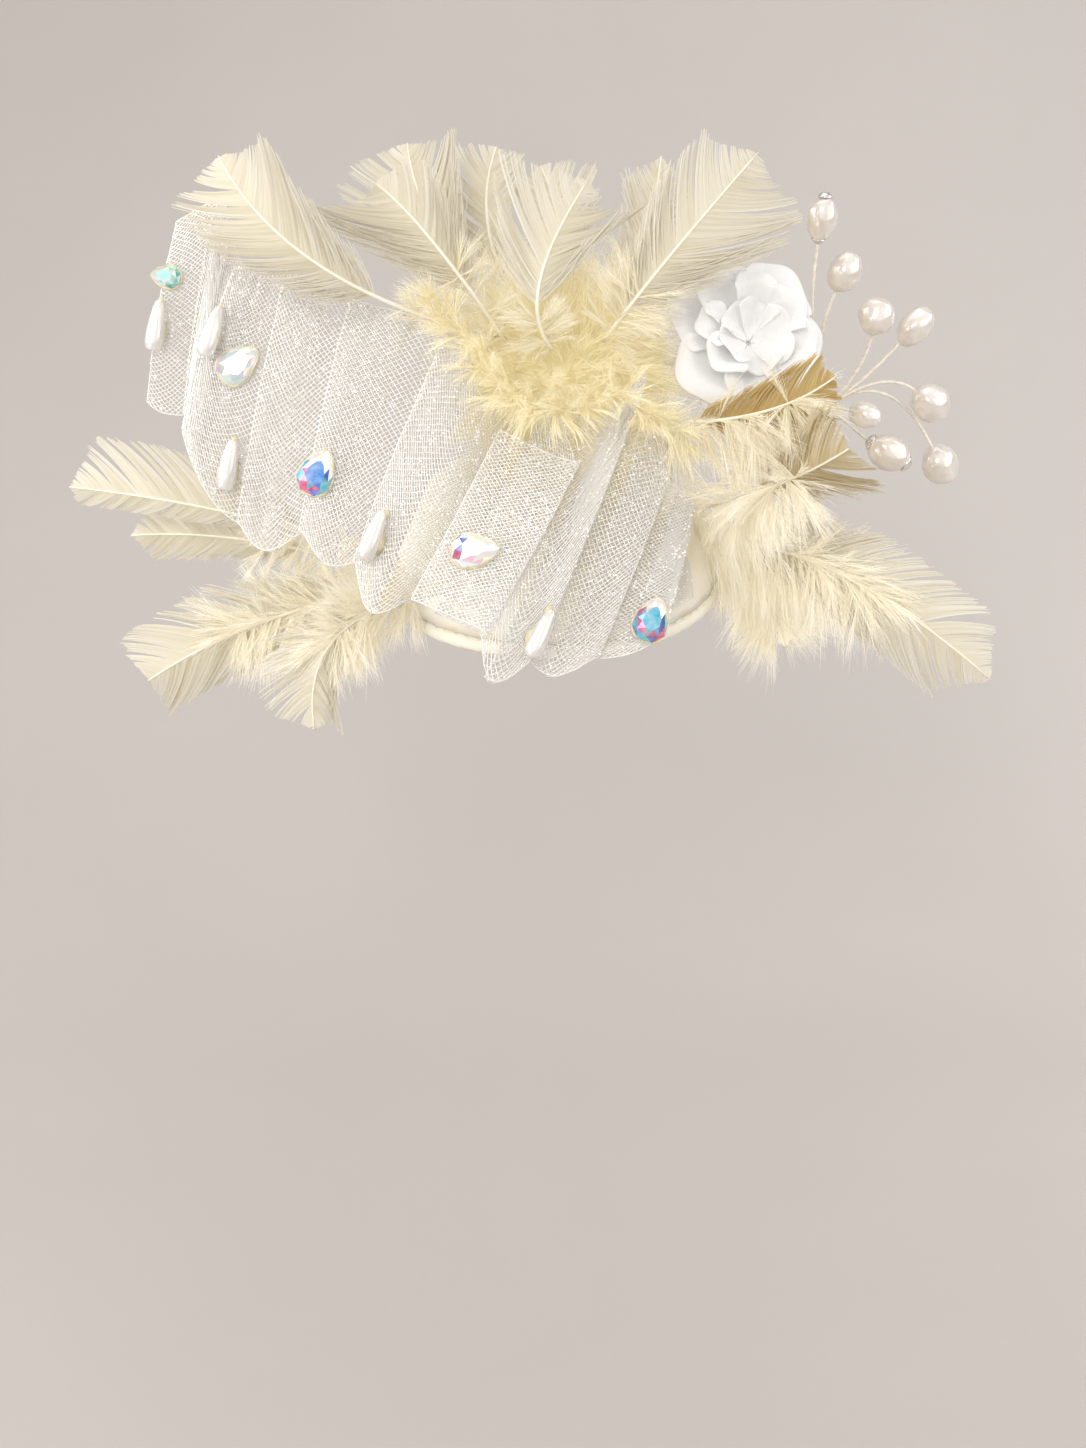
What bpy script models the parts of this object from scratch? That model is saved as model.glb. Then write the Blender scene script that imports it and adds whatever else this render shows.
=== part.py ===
"""Feather fascinator: a satin dome that carries pleated net, feathers, a fabric flower and a pearl spray.

Metres, +Z up, seen from -Y. The origin is the middle of the dome's open underside, where it sits on a head.
"""
import math
from collections import namedtuple

import bmesh
import bpy
from mathutils import Matrix, Vector
from mathutils.bvhtree import BVHTree

COLLECTION = "feather_fascinator"
CUTTERS = "cutters"
SEAT_GAP = 0.0003
MERGE = 0.00001

# Satin base, its binding and its comb
BASE_HALF_WIDTH = 0.053
BASE_HALF_DEPTH = 0.050
BASE_HEIGHT = 0.042
BASE_WALL = 0.0025
BASE_TILT = math.radians(10)
BASE_SIDES = 28
BINDING_RADIUS = 0.0024
COMB_WIDTH = 0.036
COMB_SPINE = 0.005
COMB_LENGTH = 0.020
COMB_THICKNESS = 0.0016
COMB_TEETH = 9
COMB_LIFT = 0.006

# Down puff on top of the base
PUFF_HALF_WIDTH = 0.031
PUFF_HALF_DEPTH = 0.022
PUFF_HALF_HEIGHT = 0.024
PUFF_COLUMNS = 20
PUFF_ROWS = 10
PUFF_LOCK = 0.10
# The puff's middle, in shares of the base's half width, half depth and height
PUFF_PLACE = (0.06, -0.24, 1.52)

# Pleated net
NET_WIDTH = 0.076
NET_WALL = 0.001
PLEAT_RISE = 0.0022
PLEAT_RETURN = 0.55
PANEL_SHARES = (0, 0.35, 0.65, 1)
NET_BULGE = 0.003
NET_ROWS = 4
# Step over which the net's way is measured, in folds and in shares of its fall
NET_STEP = 0.05

# Feathers: the shaft's length and the barbs' length that the table's shares are of
FEATHER_LENGTH = 0.100
BARB_LENGTH = 0.030
BARB_ANGLE = math.radians(38)
VANE_THICKNESS = 0.001
VANE_CUP = 0.12
SHAFT_RADIUS = 0.0009
SHAFT_TIP = 0.5
SHAFT_STEP = 0.01
# Where the bare shaft has its extra ring, in shares of the bare length
BARE_RING = 0.6
# Barbs start at this share of their length and grow by this much over the feather's whole length
BARB_START = 0.45
BARB_GROWTH = 2.2
# Locks of barbs: how deep the notch after each is, and where a lock ends and its notch lies, in shares
LOCKS = 5
LOCK_NOTCH = 0.30
LOCK_END = 0.78
NOTCH_PLACE = 0.88

# Fabric flower
FLOWER_RADIUS = 0.029
PETAL_WALL = 0.001
PETAL_STEP = 0.0016
PETAL_COLUMNS = 6
FLOWER_PLACE = (1.10, -0.28, 1.76)
FLOWER_FACING = Vector((0.25, -0.80, 0.50)).normalized()
FLOWER_STEM_RADIUS = 0.0012
# How far behind the petals the stem bends, in stem radii
FLOWER_STEM_BOW = 3

# Pearl spray
WIRE_RADIUS = 0.0005
SPRAY_STEM_RADIUS = 0.0013
SPRAY_STEM_LENGTH = 0.052
SPRAY_REACH = 0.057
PEARL_RADIUS = 0.0060
PEARL_SIDES = 12
PEARL_RINGS = 7

# Glued jewels
TEARDROP_LENGTH = 0.0150
TEARDROP_RADIUS = 0.0033
TEARDROP_SIDES = 12
TEARDROP_ROWS = 7
# Width of the teardrop round its middle, and how much of it moves from the point to the round end
TEARDROP_WAIST = 0.87
TEARDROP_LEAN = 0.53
CRYSTAL_LENGTH = 0.0140
CRYSTAL_WIDTH = 0.0100
CRYSTAL_DEPTH = 0.0036
CRYSTAL_SIDES = 10
CRYSTAL_LEAN = 0.35
# Size and height shares of the stone's back, girdle and table
CRYSTAL_RINGS = ((0.90, 0.0), (1.0, 0.3), (0.55, 1.0))

Finish = namedtuple("Finish", "name colour roughness metallic")
SATIN = Finish("satin", (0.93, 0.87, 0.66, 1), 0.35, 0)
COMB = Finish("comb", (0.85, 0.83, 0.78, 1), 0.30, 0)
NET = Finish("net", (0.93, 0.92, 0.90, 1), 0.35, 0)
DOWN = Finish("down", (0.93, 0.86, 0.62, 1), 0.9, 0)
FEATHER = Finish("feather", (0.92, 0.88, 0.74, 1), 0.7, 0)
TAN = Finish("tan feather", (0.84, 0.76, 0.54, 1), 0.75, 0)
PETAL = Finish("petal", (0.95, 0.95, 0.96, 1), 0.8, 0)
WIRE = Finish("wire", (0.90, 0.87, 0.80, 1), 0.45, 0)
PEARL = Finish("pearl", (0.88, 0.82, 0.75, 1), 0.2, 0)
DROP = Finish("drop", (0.94, 0.93, 0.90, 1), 0.18, 0)
CRYSTAL = Finish("crystal", (0.80, 0.88, 0.93, 1), 0.05, 0)

# Folds of the net, the undermost first. A fold's top is in shares of the base's half width, half depth and
# height, and the way from there down to the hem is in shares of the net's width. The panel that starts at a
# fold hangs lower by its lobe and reaches up past its top by its reach, both in shares too.
Fold = namedtuple("Fold", "place top hem lobe reach")
LEFT_FOLDS = (
    Fold("far edge", (-2.08, -0.28, 2.64), (-0.13, -0.16, -0.67), 0.03, 0.0),
    Fold("first fold", (-1.83, -0.36, 2.80), (-0.15, -0.16, -0.79), 0.03, 0.0),
    Fold("second fold", (-1.72, -0.48, 2.40), (-0.22, -0.18, -0.63), 0.05, 0.0),
    Fold("third fold", (-1.44, -0.60, 2.35), (-0.20, -0.21, -0.93), 0.08, 0.0),
    Fold("fourth fold", (-1.08, -0.68, 2.17), (-0.20, -0.26, -0.83), 0.08, 0.0),
    Fold("fifth fold", (-0.55, -0.72, 1.97), (-0.36, -0.32, -0.82), 0.10, 0.0),
    Fold("slit edge", (-0.36, -0.84, 1.48), (-0.31, -0.32, -0.69), 0.0, 0.0),
    Fold("sewn end", (-0.15, -0.50, 1.24), (-0.18, -0.17, -0.58), 0.0, 0.0),
)
RIGHT_FOLDS = (
    Fold("sewn end", (0.62, -0.34, 0.48), (0.00, -0.08, -0.26), 0.0, 0.0),
    Fold("right fold", (0.82, -0.64, 0.72), (-0.14, -0.34, -0.43), 0.02, 0.0),
    Fold("middle fold", (0.65, -0.76, 0.94), (-0.28, -0.37, -0.61), 0.06, 0.15),
    Fold("lobe fold", (0.41, -0.84, 1.25), (-0.35, -0.39, -0.76), 0.14, 0.30),
    Fold("top fold", (0.15, -0.96, 1.11), (-0.35, -0.37, -0.56), 0.0, 0.0),
    Fold("slit edge", (-0.28, -0.88, 1.31), (-0.33, -0.34, -0.57), 0.0, 0.0),
)
LEFT_STACK = Vector((-0.15, -0.93, 0.33)).normalized()
RIGHT_STACK = Vector((0.25, -0.86, 0.42)).normalized()

# Feathers. The root is a direction from the seat's middle; length, bend and tip are shares of the feather's
# length, and left and right are the barbs' lengths seen from the front. Barbs start at bare, and each side's
# cut gives its tip: 1 is trimmed square, less is pointed, more is half a swallow tail.
Plume = namedtuple("Plume", "name seat finish root length bend tip left right bare left_cut right_cut")
PLUMES = (
    Plume("feather_top_1", "puff", FEATHER, (-0.67, -0.50, 0.55), 0.95, (-0.59, -0.51, 0.21),
          (-0.82, -0.12, 0.55), 0.90, 0.95, 0.34, 1.05, 0.72),
    Plume("feather_top_2", "puff", FEATHER, (-0.61, -0.60, 0.52), 0.59, (-0.41, -0.38, 0.68),
          (-0.64, 0.02, 0.77), 1.35, 0.70, 0.22, 1.00, 0.60),
    Plume("feather_top_3", "puff", FEATHER, (-0.66, 0.07, 0.75), 0.56, (-0.43, 0.07, 0.38),
          (-0.49, 0.29, 0.83), 1.15, 1.15, 0.25, 1.05, 0.90),
    Plume("feather_top_4", "puff", FEATHER, (-0.11, -0.85, 0.52), 0.50, (-0.25, -0.43, 0.35),
          (0.21, 0.31, 0.93), 1.30, 1.30, 0.35, 1.50, 1.50),
    Plume("feather_top_5", "puff", FEATHER, (0.48, -0.68, 0.56), 0.72, (0.14, -0.31, 0.27),
          (0.63, 0.29, 0.72), 0.90, 1.30, 0.25, 1.10, 1.50),
    Plume("feather_top_6", "puff", FEATHER, (-0.46, 0.53, 0.71), 0.53, (-0.32, 0.28, 0.46),
          (-0.15, 0.43, 0.89), 0.60, 0.60, 0.25, 0.95, 0.95),
    Plume("feather_top_7", "puff", FEATHER, (0.48, 0.55, 0.68), 0.53, (0.31, 0.28, 0.40),
          (0.35, 0.39, 0.85), 0.60, 0.60, 0.25, 0.60, 0.60),
    Plume("feather_top_8", "puff", FEATHER, (0.00, 0.65, 0.76), 0.52, (0.07, 0.37, 0.42),
          (-0.12, 0.62, 0.77), 0.80, 0.80, 0.25, 0.90, 0.90),
    Plume("feather_left_1", "base", FEATHER, (-0.91, -0.37, 0.18), 1.04, (-0.45, -0.02, 0.17),
          (-0.98, 0.09, 0.20), 0.32, 0.85, 0.30, 0.80, 0.80),
    Plume("feather_left_2", "base", FEATHER, (-0.99, -0.16, 0.04), 0.84, (-0.53, 0.07, 0.16),
          (-0.98, 0.17, 0.10), 0.50, 0.50, 0.30, 0.60, 0.60),
    Plume("feather_left_3", "base", FEATHER, (-0.87, -0.50, 0.04), 0.83, (-0.52, -0.17, -0.02),
          (-0.94, -0.15, -0.31), 0.80, 0.80, 0.16, 1.10, 1.10),
    Plume("feather_left_4", "base", FEATHER, (-0.76, -0.65, 0.03), 0.52, (-0.68, -0.44, 0.01),
          (-0.61, -0.40, -0.68), 0.70, 0.70, 0.20, 1.05, 1.05),
    Plume("feather_right_1", "base", TAN, (0.87, -0.18, 0.45), 0.73, (0.33, -0.64, 0.24),
          (0.55, -0.72, 0.42), 0.85, 0.85, 0.40, 0.80, 0.80),
    Plume("feather_right_2", "puff", TAN, (0.83, -0.43, -0.35), 0.61, (0.56, -0.59, 0.07),
          (0.90, -0.33, 0.28), 0.55, 0.55, 0.25, 0.70, 0.70),
    Plume("feather_right_3", "base", FEATHER, (0.95, -0.20, 0.23), 0.97, (0.32, -0.29, 0.12),
          (0.89, -0.25, -0.38), 0.80, 0.95, 0.12, 0.85, 0.95),
    Plume("marabou_plume", "base", DOWN, (1.00, -0.04, 0.09), 0.36, (0.43, -0.27, -0.03),
          (0.60, -0.42, -0.68), 0.70, 0.70, 0.20, 0.80, 0.80),
)

# Whorls of the flower. Radius is a share of the flower's radius; the profile gives lift at the middle, the
# two inner rings and the rim, and rings gives the rings' radii, both in shares of the whorl's own radius.
Whorl = namedtuple("Whorl", "name radius petals notch rings lift turn")
WHORLS = (
    Whorl("flower_outer", 1.00, 5, 0.16, (0.30, 0.62, 0.85, 1.00), (0.02, 0.10, 0.15, 0.10), 0.0),
    Whorl("flower_inner", 0.70, 5, 0.14, (0.32, 0.62, 0.85, 1.00), (0.05, 0.28, 0.42, 0.44), 0.6),
    Whorl("flower_heart", 0.40, 3, 0.12, (0.35, 0.70, 0.95, 0.92), (0.10, 0.45, 0.85, 1.15), 0.3),
)

# Pearls of the spray: place and bend are shares of the spray's reach from its hub, and wide and long are
# shares of the pearl's radius.
SprayPearl = namedtuple("SprayPearl", "place bend wide long")
SPRAY_PEARLS = (
    SprayPearl((-0.09, -0.04, 1.02), (-0.16, 0.00, 0.40), 0.78, 1.17),
    SprayPearl((0.06, 0.05, 0.72), (-0.12, 0.04, 0.30), 0.85, 1.12),
    SprayPearl((0.23, -0.05, 0.50), (0.18, -0.03, 0.20), 0.95, 1.02),
    SprayPearl((0.46, 0.04, 0.43), (0.18, 0.02, 0.12), 0.82, 1.15),
    SprayPearl((0.55, -0.06, 0.03), (0.30, -0.02, 0.22), 0.98, 1.10),
    SprayPearl((0.65, 0.05, -0.34), (0.34, 0.03, 0.24), 0.98, 1.10),
    SprayPearl((0.16, -0.26, 0.00), (0.04, -0.14, 0.02), 0.70, 0.90),
    SprayPearl((0.33, -0.10, -0.24), (0.16, -0.08, -0.14), 0.95, 1.20),
    SprayPearl((-0.16, 0.06, 0.40), (-0.10, 0.04, 0.16), 0.75, 0.95),
)
SPRAY_ROOT = Vector((0.90, 0.11, 0.42))
SPRAY_STEM_BEND = (0.53, 0.05, 0.36)
SPRAY_STEM_TIP = (0.81, 0.08, 0.58)

# Jewels on the net: place counts folds from the undermost, down runs from the top edge to the hem
Jewel = namedtuple("Jewel", "name strip place down turn")
TEARDROPS = (
    Jewel("teardrop_pearl_1", "left", 0.12, 0.58, 0),
    Jewel("teardrop_pearl_2", "left", 2.03, 0.42, 0),
    Jewel("teardrop_pearl_3", "left", 2.72, 0.80, 0),
    Jewel("teardrop_pearl_4", "left", 5.26, 0.79, 0),
    Jewel("teardrop_pearl_5", "right", 3.15, 0.84, 0),
)
CRYSTALS = (
    Jewel("crystal_1", "left", 0.12, 0.32, 90),
    Jewel("crystal_2", "left", 2.56, 0.42, -40),
    Jewel("crystal_3", "left", 4.09, 0.73, -15),
    Jewel("crystal_4", "right", 4.54, 0.65, -60),
    Jewel("crystal_5", "right", 1.36, 0.82, 0),
)


def clear_scene():
    """Remove every object of the open scene."""
    for scene_object in list(bpy.data.objects):
        bpy.data.objects.remove(scene_object, do_unlink=True)


def new_collection(name):
    """Add a collection to the scene."""
    collection = bpy.data.collections.new(name)
    bpy.context.scene.collection.children.link(collection)
    return collection


def material_of(finish):
    """Return the finish's material, made on first use."""
    material = bpy.data.materials.get(finish.name)
    if material is None:
        material = bpy.data.materials.new(finish.name)
        material.use_nodes = True
        shader = material.node_tree.nodes["Principled BSDF"]
        shader.inputs["Base Color"].default_value = finish.colour
        shader.inputs["Roughness"].default_value = finish.roughness
        shader.inputs["Metallic"].default_value = finish.metallic
    return material


def add_object(name, data, finish=None):
    """Add an object to the parts, or to the cutters where it has no finish."""
    part = bpy.data.objects.new(name, data)
    if finish is None:
        part.hide_render = True
        part.display_type = "WIRE"
        bpy.data.collections[CUTTERS].objects.link(part)
    else:
        data.materials.append(material_of(finish))
        bpy.data.collections[COLLECTION].objects.link(part)
    return part


def mesh_from(name, points, faces):
    """Make a mesh with its faces turned outwards."""
    mesh = bpy.data.meshes.new(name)
    mesh.from_pydata([tuple(point) for point in points], [], faces)
    shape = bmesh.new()
    shape.from_mesh(mesh)
    bmesh.ops.recalc_face_normals(shape, faces=shape.faces)
    shape.to_mesh(mesh)
    shape.free()
    return mesh


def evaluated_mesh(part):
    """Return a new mesh of the part with its modifiers applied and its doubles merged."""
    bpy.context.view_layer.update()
    graph = bpy.context.evaluated_depsgraph_get()
    mesh = bpy.data.meshes.new_from_object(part.evaluated_get(graph))
    shape = bmesh.new()
    shape.from_mesh(mesh)
    bmesh.ops.remove_doubles(shape, verts=shape.verts, dist=MERGE)
    shape.to_mesh(mesh)
    shape.free()
    return mesh


def boolean(part, other, operation):
    """Add a Boolean modifier with the other object."""
    modifier = part.modifiers.new(operation.lower() + " " + other.name, "BOOLEAN")
    modifier.operation = operation
    modifier.solver = "MANIFOLD"
    modifier.object = other


def wall(part, thickness, offset):
    """Give an open surface its thickness."""
    modifier = part.modifiers.new("wall", "SOLIDIFY")
    modifier.thickness = thickness
    modifier.offset = offset


def loft(rings):
    """Return points and faces of a closed body through rings of equal counts."""
    sides = len(rings[0])
    points = [point for ring in rings for point in ring]
    faces = [tuple(reversed(range(sides)))]
    for row in range(len(rings) - 1):
        for side in range(sides):
            following = (side + 1) % sides
            faces.append((row * sides + side, row * sides + following,
                          (row + 1) * sides + following, (row + 1) * sides + side))
    faces.append(tuple(range((len(rings) - 1) * sides, len(rings) * sides)))
    return points, faces


def grid(columns):
    """Return points and faces of an open surface through columns of equal counts."""
    rows = len(columns[0])
    points = [point for column in columns for point in column]
    faces = []
    for column in range(len(columns) - 1):
        for row in range(rows - 1):
            corner = column * rows + row
            faces.append((corner, corner + 1, corner + rows + 1, corner + rows))
    return points, faces


def tube(name, points, radius, sides_level=1):
    """Return a mesh object of a wire along points, which stays with the cutters until it is fused."""
    curve = bpy.data.curves.new(name, "CURVE")
    curve.dimensions = "3D"
    curve.bevel_depth = radius
    curve.bevel_resolution = sides_level
    curve.use_fill_caps = True
    spline = curve.splines.new("POLY")
    spline.points.add(len(points) - 1)
    for spline_point, point in zip(spline.points, points):
        spline_point.co = (*point, 1)
    guide = add_object(name, curve)
    wire = add_object(name, evaluated_mesh(guide))
    wire.matrix_world = guide.matrix_world
    bpy.data.objects.remove(guide)
    return wire


def base_sizes():
    """Return the base's half width, half depth and height as a vector."""
    return Vector((BASE_HALF_WIDTH, BASE_HALF_DEPTH, BASE_HEIGHT))


def on_base(shares):
    """Turn shares of the base's sizes into a place."""
    return Vector(share * size for share, size in zip(shares, base_sizes()))


def base_turn():
    """Return the base's forward tilt."""
    return Matrix.Rotation(BASE_TILT, 4, "X")


def bend_point(root, bend, tip, share):
    """Return the place at a share of a bow from the root, with bend and tip measured from the root."""
    return root + bend * (2 * share * (1 - share)) + tip * share ** 2


def smooth_place(points, place):
    """Return the place on a smooth curve through points, where 0 is the first and 1 the second."""
    index = max(0, min(int(place), len(points) - 2))
    share = place - index
    first, second = points[index], points[index + 1]
    before = points[max(index - 1, 0)]
    after = points[min(index + 2, len(points) - 1)]
    return 0.5 * (2 * first + (second - before) * share
                  + (2 * before - 5 * first + 4 * second - after) * share ** 2
                  + (3 * first - before - 3 * second + after) * share ** 3)


def ellipsoid(name, middle, radii, turn, lock=0.0, finish=None, columns=BASE_SIDES, rows=BASE_SIDES // 2):
    """Add a closed ellipsoid, with staggered locks where lock is over 0."""
    shape = bmesh.new()
    bmesh.ops.create_uvsphere(shape, u_segments=columns, v_segments=rows, radius=1)
    for vertex in shape.verts:
        azimuth = round(math.atan2(vertex.co.y, vertex.co.x) * columns / math.tau)
        ring = round(math.acos(max(-1, min(1, vertex.co.z))) * rows / math.pi)
        if (azimuth + ring) % 2:
            vertex.co *= 1 + lock
        vertex.co = Vector(share * radius for share, radius in zip(vertex.co, radii))
    mesh = bpy.data.meshes.new(name)
    shape.to_mesh(mesh)
    shape.free()
    mesh.transform(Matrix.Translation(middle) @ turn)
    return add_object(name, mesh, finish)


def base_dome():
    """Add the hollow dome."""
    bpy.ops.mesh.primitive_uv_sphere_add(segments=BASE_SIDES, ring_count=BASE_SIDES // 2, radius=1)
    start = bpy.context.active_object
    shape = bmesh.new()
    shape.from_mesh(start.data)
    bpy.data.objects.remove(start)
    below = [vertex for vertex in shape.verts if vertex.co.z < -MERGE]
    bmesh.ops.delete(shape, geom=below, context="VERTS")
    mesh = bpy.data.meshes.new("base_dome")
    shape.to_mesh(mesh)
    shape.free()
    mesh.transform(base_turn() @ Matrix.Diagonal((*base_sizes(), 1)))
    dome = add_object("base_dome", mesh, SATIN)
    wall(dome, BASE_WALL, -1)
    return dome


def edge_binding():
    """Add the satin roll just under the rim."""
    curve = bpy.data.curves.new("edge_binding", "CURVE")
    curve.dimensions = "3D"
    curve.bevel_depth = BINDING_RADIUS
    curve.bevel_resolution = 1
    spline = curve.splines.new("POLY")
    spline.points.add(BASE_SIDES - 1)
    spline.use_cyclic_u = True
    drop = -(BINDING_RADIUS + SEAT_GAP)
    for number, spline_point in enumerate(spline.points):
        angle = math.tau * number / BASE_SIDES
        place = Vector(((BASE_HALF_WIDTH - BASE_WALL / 2) * math.cos(angle),
                        (BASE_HALF_DEPTH - BASE_WALL / 2) * math.sin(angle), drop))
        spline_point.co = (*(base_turn() @ place), 1)
    return add_object("edge_binding", curve, SATIN)


def hair_comb():
    """Add the comb, which follows the dome's inner wall at the back with its teeth hanging down."""
    flat_of_facets = 2 * BASE_HALF_DEPTH * (1 - math.cos(math.pi / BASE_SIDES))
    inset = BASE_WALL + SEAT_GAP + COMB_THICKNESS / 2 + flat_of_facets
    height_share = (COMB_LIFT + COMB_SPINE) / (BASE_HEIGHT - BASE_WALL)
    narrowing = math.sqrt(1 - height_share ** 2)
    half_width = (BASE_HALF_WIDTH - inset) * narrowing
    half_depth = (BASE_HALF_DEPTH - inset) * narrowing
    columns = 2 * COMB_TEETH
    points, faces = [], []
    heights = (COMB_LIFT + COMB_SPINE, COMB_LIFT, COMB_LIFT + COMB_SPINE - COMB_LENGTH)
    for column in range(columns):
        across = COMB_WIDTH * (column / (columns - 1) - 0.5)
        angle = math.pi / 2 - across / half_width
        sideways, back = half_width * math.cos(angle), half_depth * math.sin(angle)
        points += [base_turn() @ Vector((sideways, back, height)) for height in heights]
    for column in range(columns - 1):
        corner = column * 3
        faces.append((corner, corner + 3, corner + 4, corner + 1))
        if column % 2 == 0:
            faces.append((corner + 1, corner + 4, corner + 5, corner + 2))
    comb = add_object("hair_comb", mesh_from("hair_comb", points, faces), COMB)
    wall(comb, COMB_THICKNESS, 0)
    return comb


class PleatedStrip:
    """A strip of net folded into knife pleats, each panel lying on the one before."""

    def __init__(self, folds, stack):
        self.folds = folds
        self.stack = stack
        self.last = len([fold for fold in folds if "fold" in fold.place])
        self.tops = []
        self.hems = []
        for number, fold in enumerate(folds):
            rise = stack * (PLEAT_RISE * self.level(number))
            self.tops.append(on_base(fold.top) - rise)
            self.hems.append(Vector(fold.hem) * NET_WIDTH)

    def level(self, place):
        """Return how many layers lie under the panel at this place."""
        return 2 * min(int(place), self.last)

    def point(self, place, down, level):
        """Return a place on the net, with down 0 at the fold's top and 1 at the hem."""
        hem = smooth_place(self.hems, place)
        index = min(int(place), len(self.folds) - 1)
        lobe = self.folds[index].lobe * NET_WIDTH * math.sin(math.pi * (place - index))
        bulge = self.stack * (NET_BULGE * 4 * down * (1 - down))
        drop = (hem + hem.normalized() * lobe) * down
        return smooth_place(self.tops, place) + drop + bulge + self.stack * (PLEAT_RISE * level)

    def turn(self, place, level, way):
        """Return the two places that round a fold off."""
        speed = (self.point(place + NET_STEP, 0.5, 0) - self.point(place, 0.5, 0)).length / NET_STEP
        reach = way * PLEAT_RISE / 2 * math.cos(math.radians(30)) / speed
        return [(place + reach, level + 0.25), (place + reach, level + 0.75)]

    def path(self):
        """Return place, level and reach along the strip, from its undermost end to its top end."""
        path = []
        for fold in range(1, self.last + 1):
            start, hidden = fold - 1, fold + PLEAT_RETURN
            reach = self.folds[start].reach
            following = self.folds[fold].reach
            level = 2 * start
            path += [(start + (hidden - start) * share, level, reach) for share in PANEL_SHARES]
            path += [(place, height, reach) for place, height in self.turn(hidden, level, 1)]
            path += [(hidden + (fold - hidden) * share, level + 1, reach + (following - reach) * share)
                     for share in (0, 1)]
            path += [(place, height, following) for place, height in self.turn(fold, level + 1, -1)]
        end = len(self.folds) - 1
        steps = max(2, 2 * (end - self.last))
        top_reach = self.folds[self.last].reach
        path += [(self.last + (end - self.last) * step / steps, 2 * self.last, top_reach)
                 for step in range(steps + 1)]
        return path

    def build(self, name, cutters):
        """Add the strip as one body, cut clear of the base and the puff that it is sewn to."""
        columns = []
        for place, level, reach in self.path():
            downs = [-reach + (1 + reach) * row / NET_ROWS for row in range(NET_ROWS + 1)]
            columns.append([self.point(place, down, level) for down in downs])
        strip = add_object(name, mesh_from(name, *grid(columns)), NET)
        wall(strip, NET_WALL, 0)
        for cutter in cutters:
            boolean(strip, cutter, "DIFFERENCE")
        return strip

    def seat(self, jewel, height):
        """Return the turned place of a jewel whose middle lies at a height over the net."""
        level = self.level(jewel.place)
        place = self.point(jewel.place, jewel.down, level)
        hang = (self.point(jewel.place, jewel.down + NET_STEP, level) - place).normalized()
        across = self.point(jewel.place + NET_STEP, jewel.down, level) - place
        outward = hang.cross(across).normalized()
        if outward.dot(self.stack) < 0:
            outward.negate()
        up = Matrix.Rotation(math.radians(jewel.turn), 3, outward) @ -hang
        side = up.cross(outward)
        turned = Matrix((side, up, outward)).transposed().to_4x4()
        return Matrix.Translation(place + outward * (NET_WALL / 2 + SEAT_GAP + height)) @ turned


def seat_on(tree, middle, direction, along, radius):
    """Return where a round foot that runs along a way clears a body, on a line from the body's middle."""
    outward = Vector(direction).normalized()
    far = middle + outward * (BASE_HALF_WIDTH + BASE_HALF_DEPTH + BASE_HEIGHT)
    place, normal = tree.ray_cast(far, -outward)[:2]
    lean = radius * Vector(along).normalized().cross(normal).length
    return place + outward * ((SEAT_GAP + lean) / outward.dot(normal))


def plume(row, tree, middle):
    """Add a feather: a shaft with barbs cut into locks, as one closed body."""
    length = row.length * FEATHER_LENGTH
    root = seat_on(tree, middle, row.root, row.bend, SHAFT_RADIUS)
    bend, tip = Vector(row.bend) * length, Vector(row.tip) * length
    stations = [(0.0, 0.0), (row.bare * BARE_RING, 0.0)]
    for lock in range(LOCKS):
        for part_of_lock, fullness in ((0.0, 1.0), (LOCK_END, 1.0), (NOTCH_PLACE, 1.0 - LOCK_NOTCH)):
            share = (lock + part_of_lock) / LOCKS
            stations.append((row.bare + (1 - row.bare) * share, fullness))
    rings = []
    for share, fullness in stations:
        place = bend_point(root, bend, tip, share)
        along = (bend_point(root, bend, tip, share + SHAFT_STEP) - place).normalized()
        front = Vector((0, -1, 0))
        facing = (front - along * front.dot(along)).normalized()
        side = along.cross(facing)
        shaft = SHAFT_RADIUS * (1 + (SHAFT_TIP - 1) * share)
        rise = min(1.0, BARB_START + BARB_GROWTH * (share - row.bare)) if fullness else 0.0
        room = (1 - share) * length / math.cos(BARB_ANGLE)
        sides = []
        for way, barb_share, cut in ((-1, row.left, row.left_cut), (1, row.right, row.right_cut)):
            barb = min(barb_share * BARB_LENGTH * rise, room * cut) * fullness
            tip_place = place + side * (way * shaft)
            if barb > shaft:
                tip_place = place + along * (barb * math.cos(BARB_ANGLE)) - facing * (barb * VANE_CUP)
                tip_place += side * (way * barb * math.sin(BARB_ANGLE))
            sides.append(tip_place)
        edge, ridge = facing * (VANE_THICKNESS / 2), facing * shaft
        rings.append([sides[0] + edge, place + ridge, sides[1] + edge,
                      sides[1] - edge, place - ridge, sides[0] - edge])
    return add_object(row.name, mesh_from(row.name, *loft(rings)), row.finish)


def flower_frame():
    """Return the flower's place with its Z axis along the way it faces."""
    across = Vector((0, 0, 1)).cross(FLOWER_FACING).normalized()
    above = FLOWER_FACING.cross(across)
    turned = Matrix((across, above, FLOWER_FACING)).transposed().to_4x4()
    return Matrix.Translation(on_base(FLOWER_PLACE)) @ turned


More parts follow.
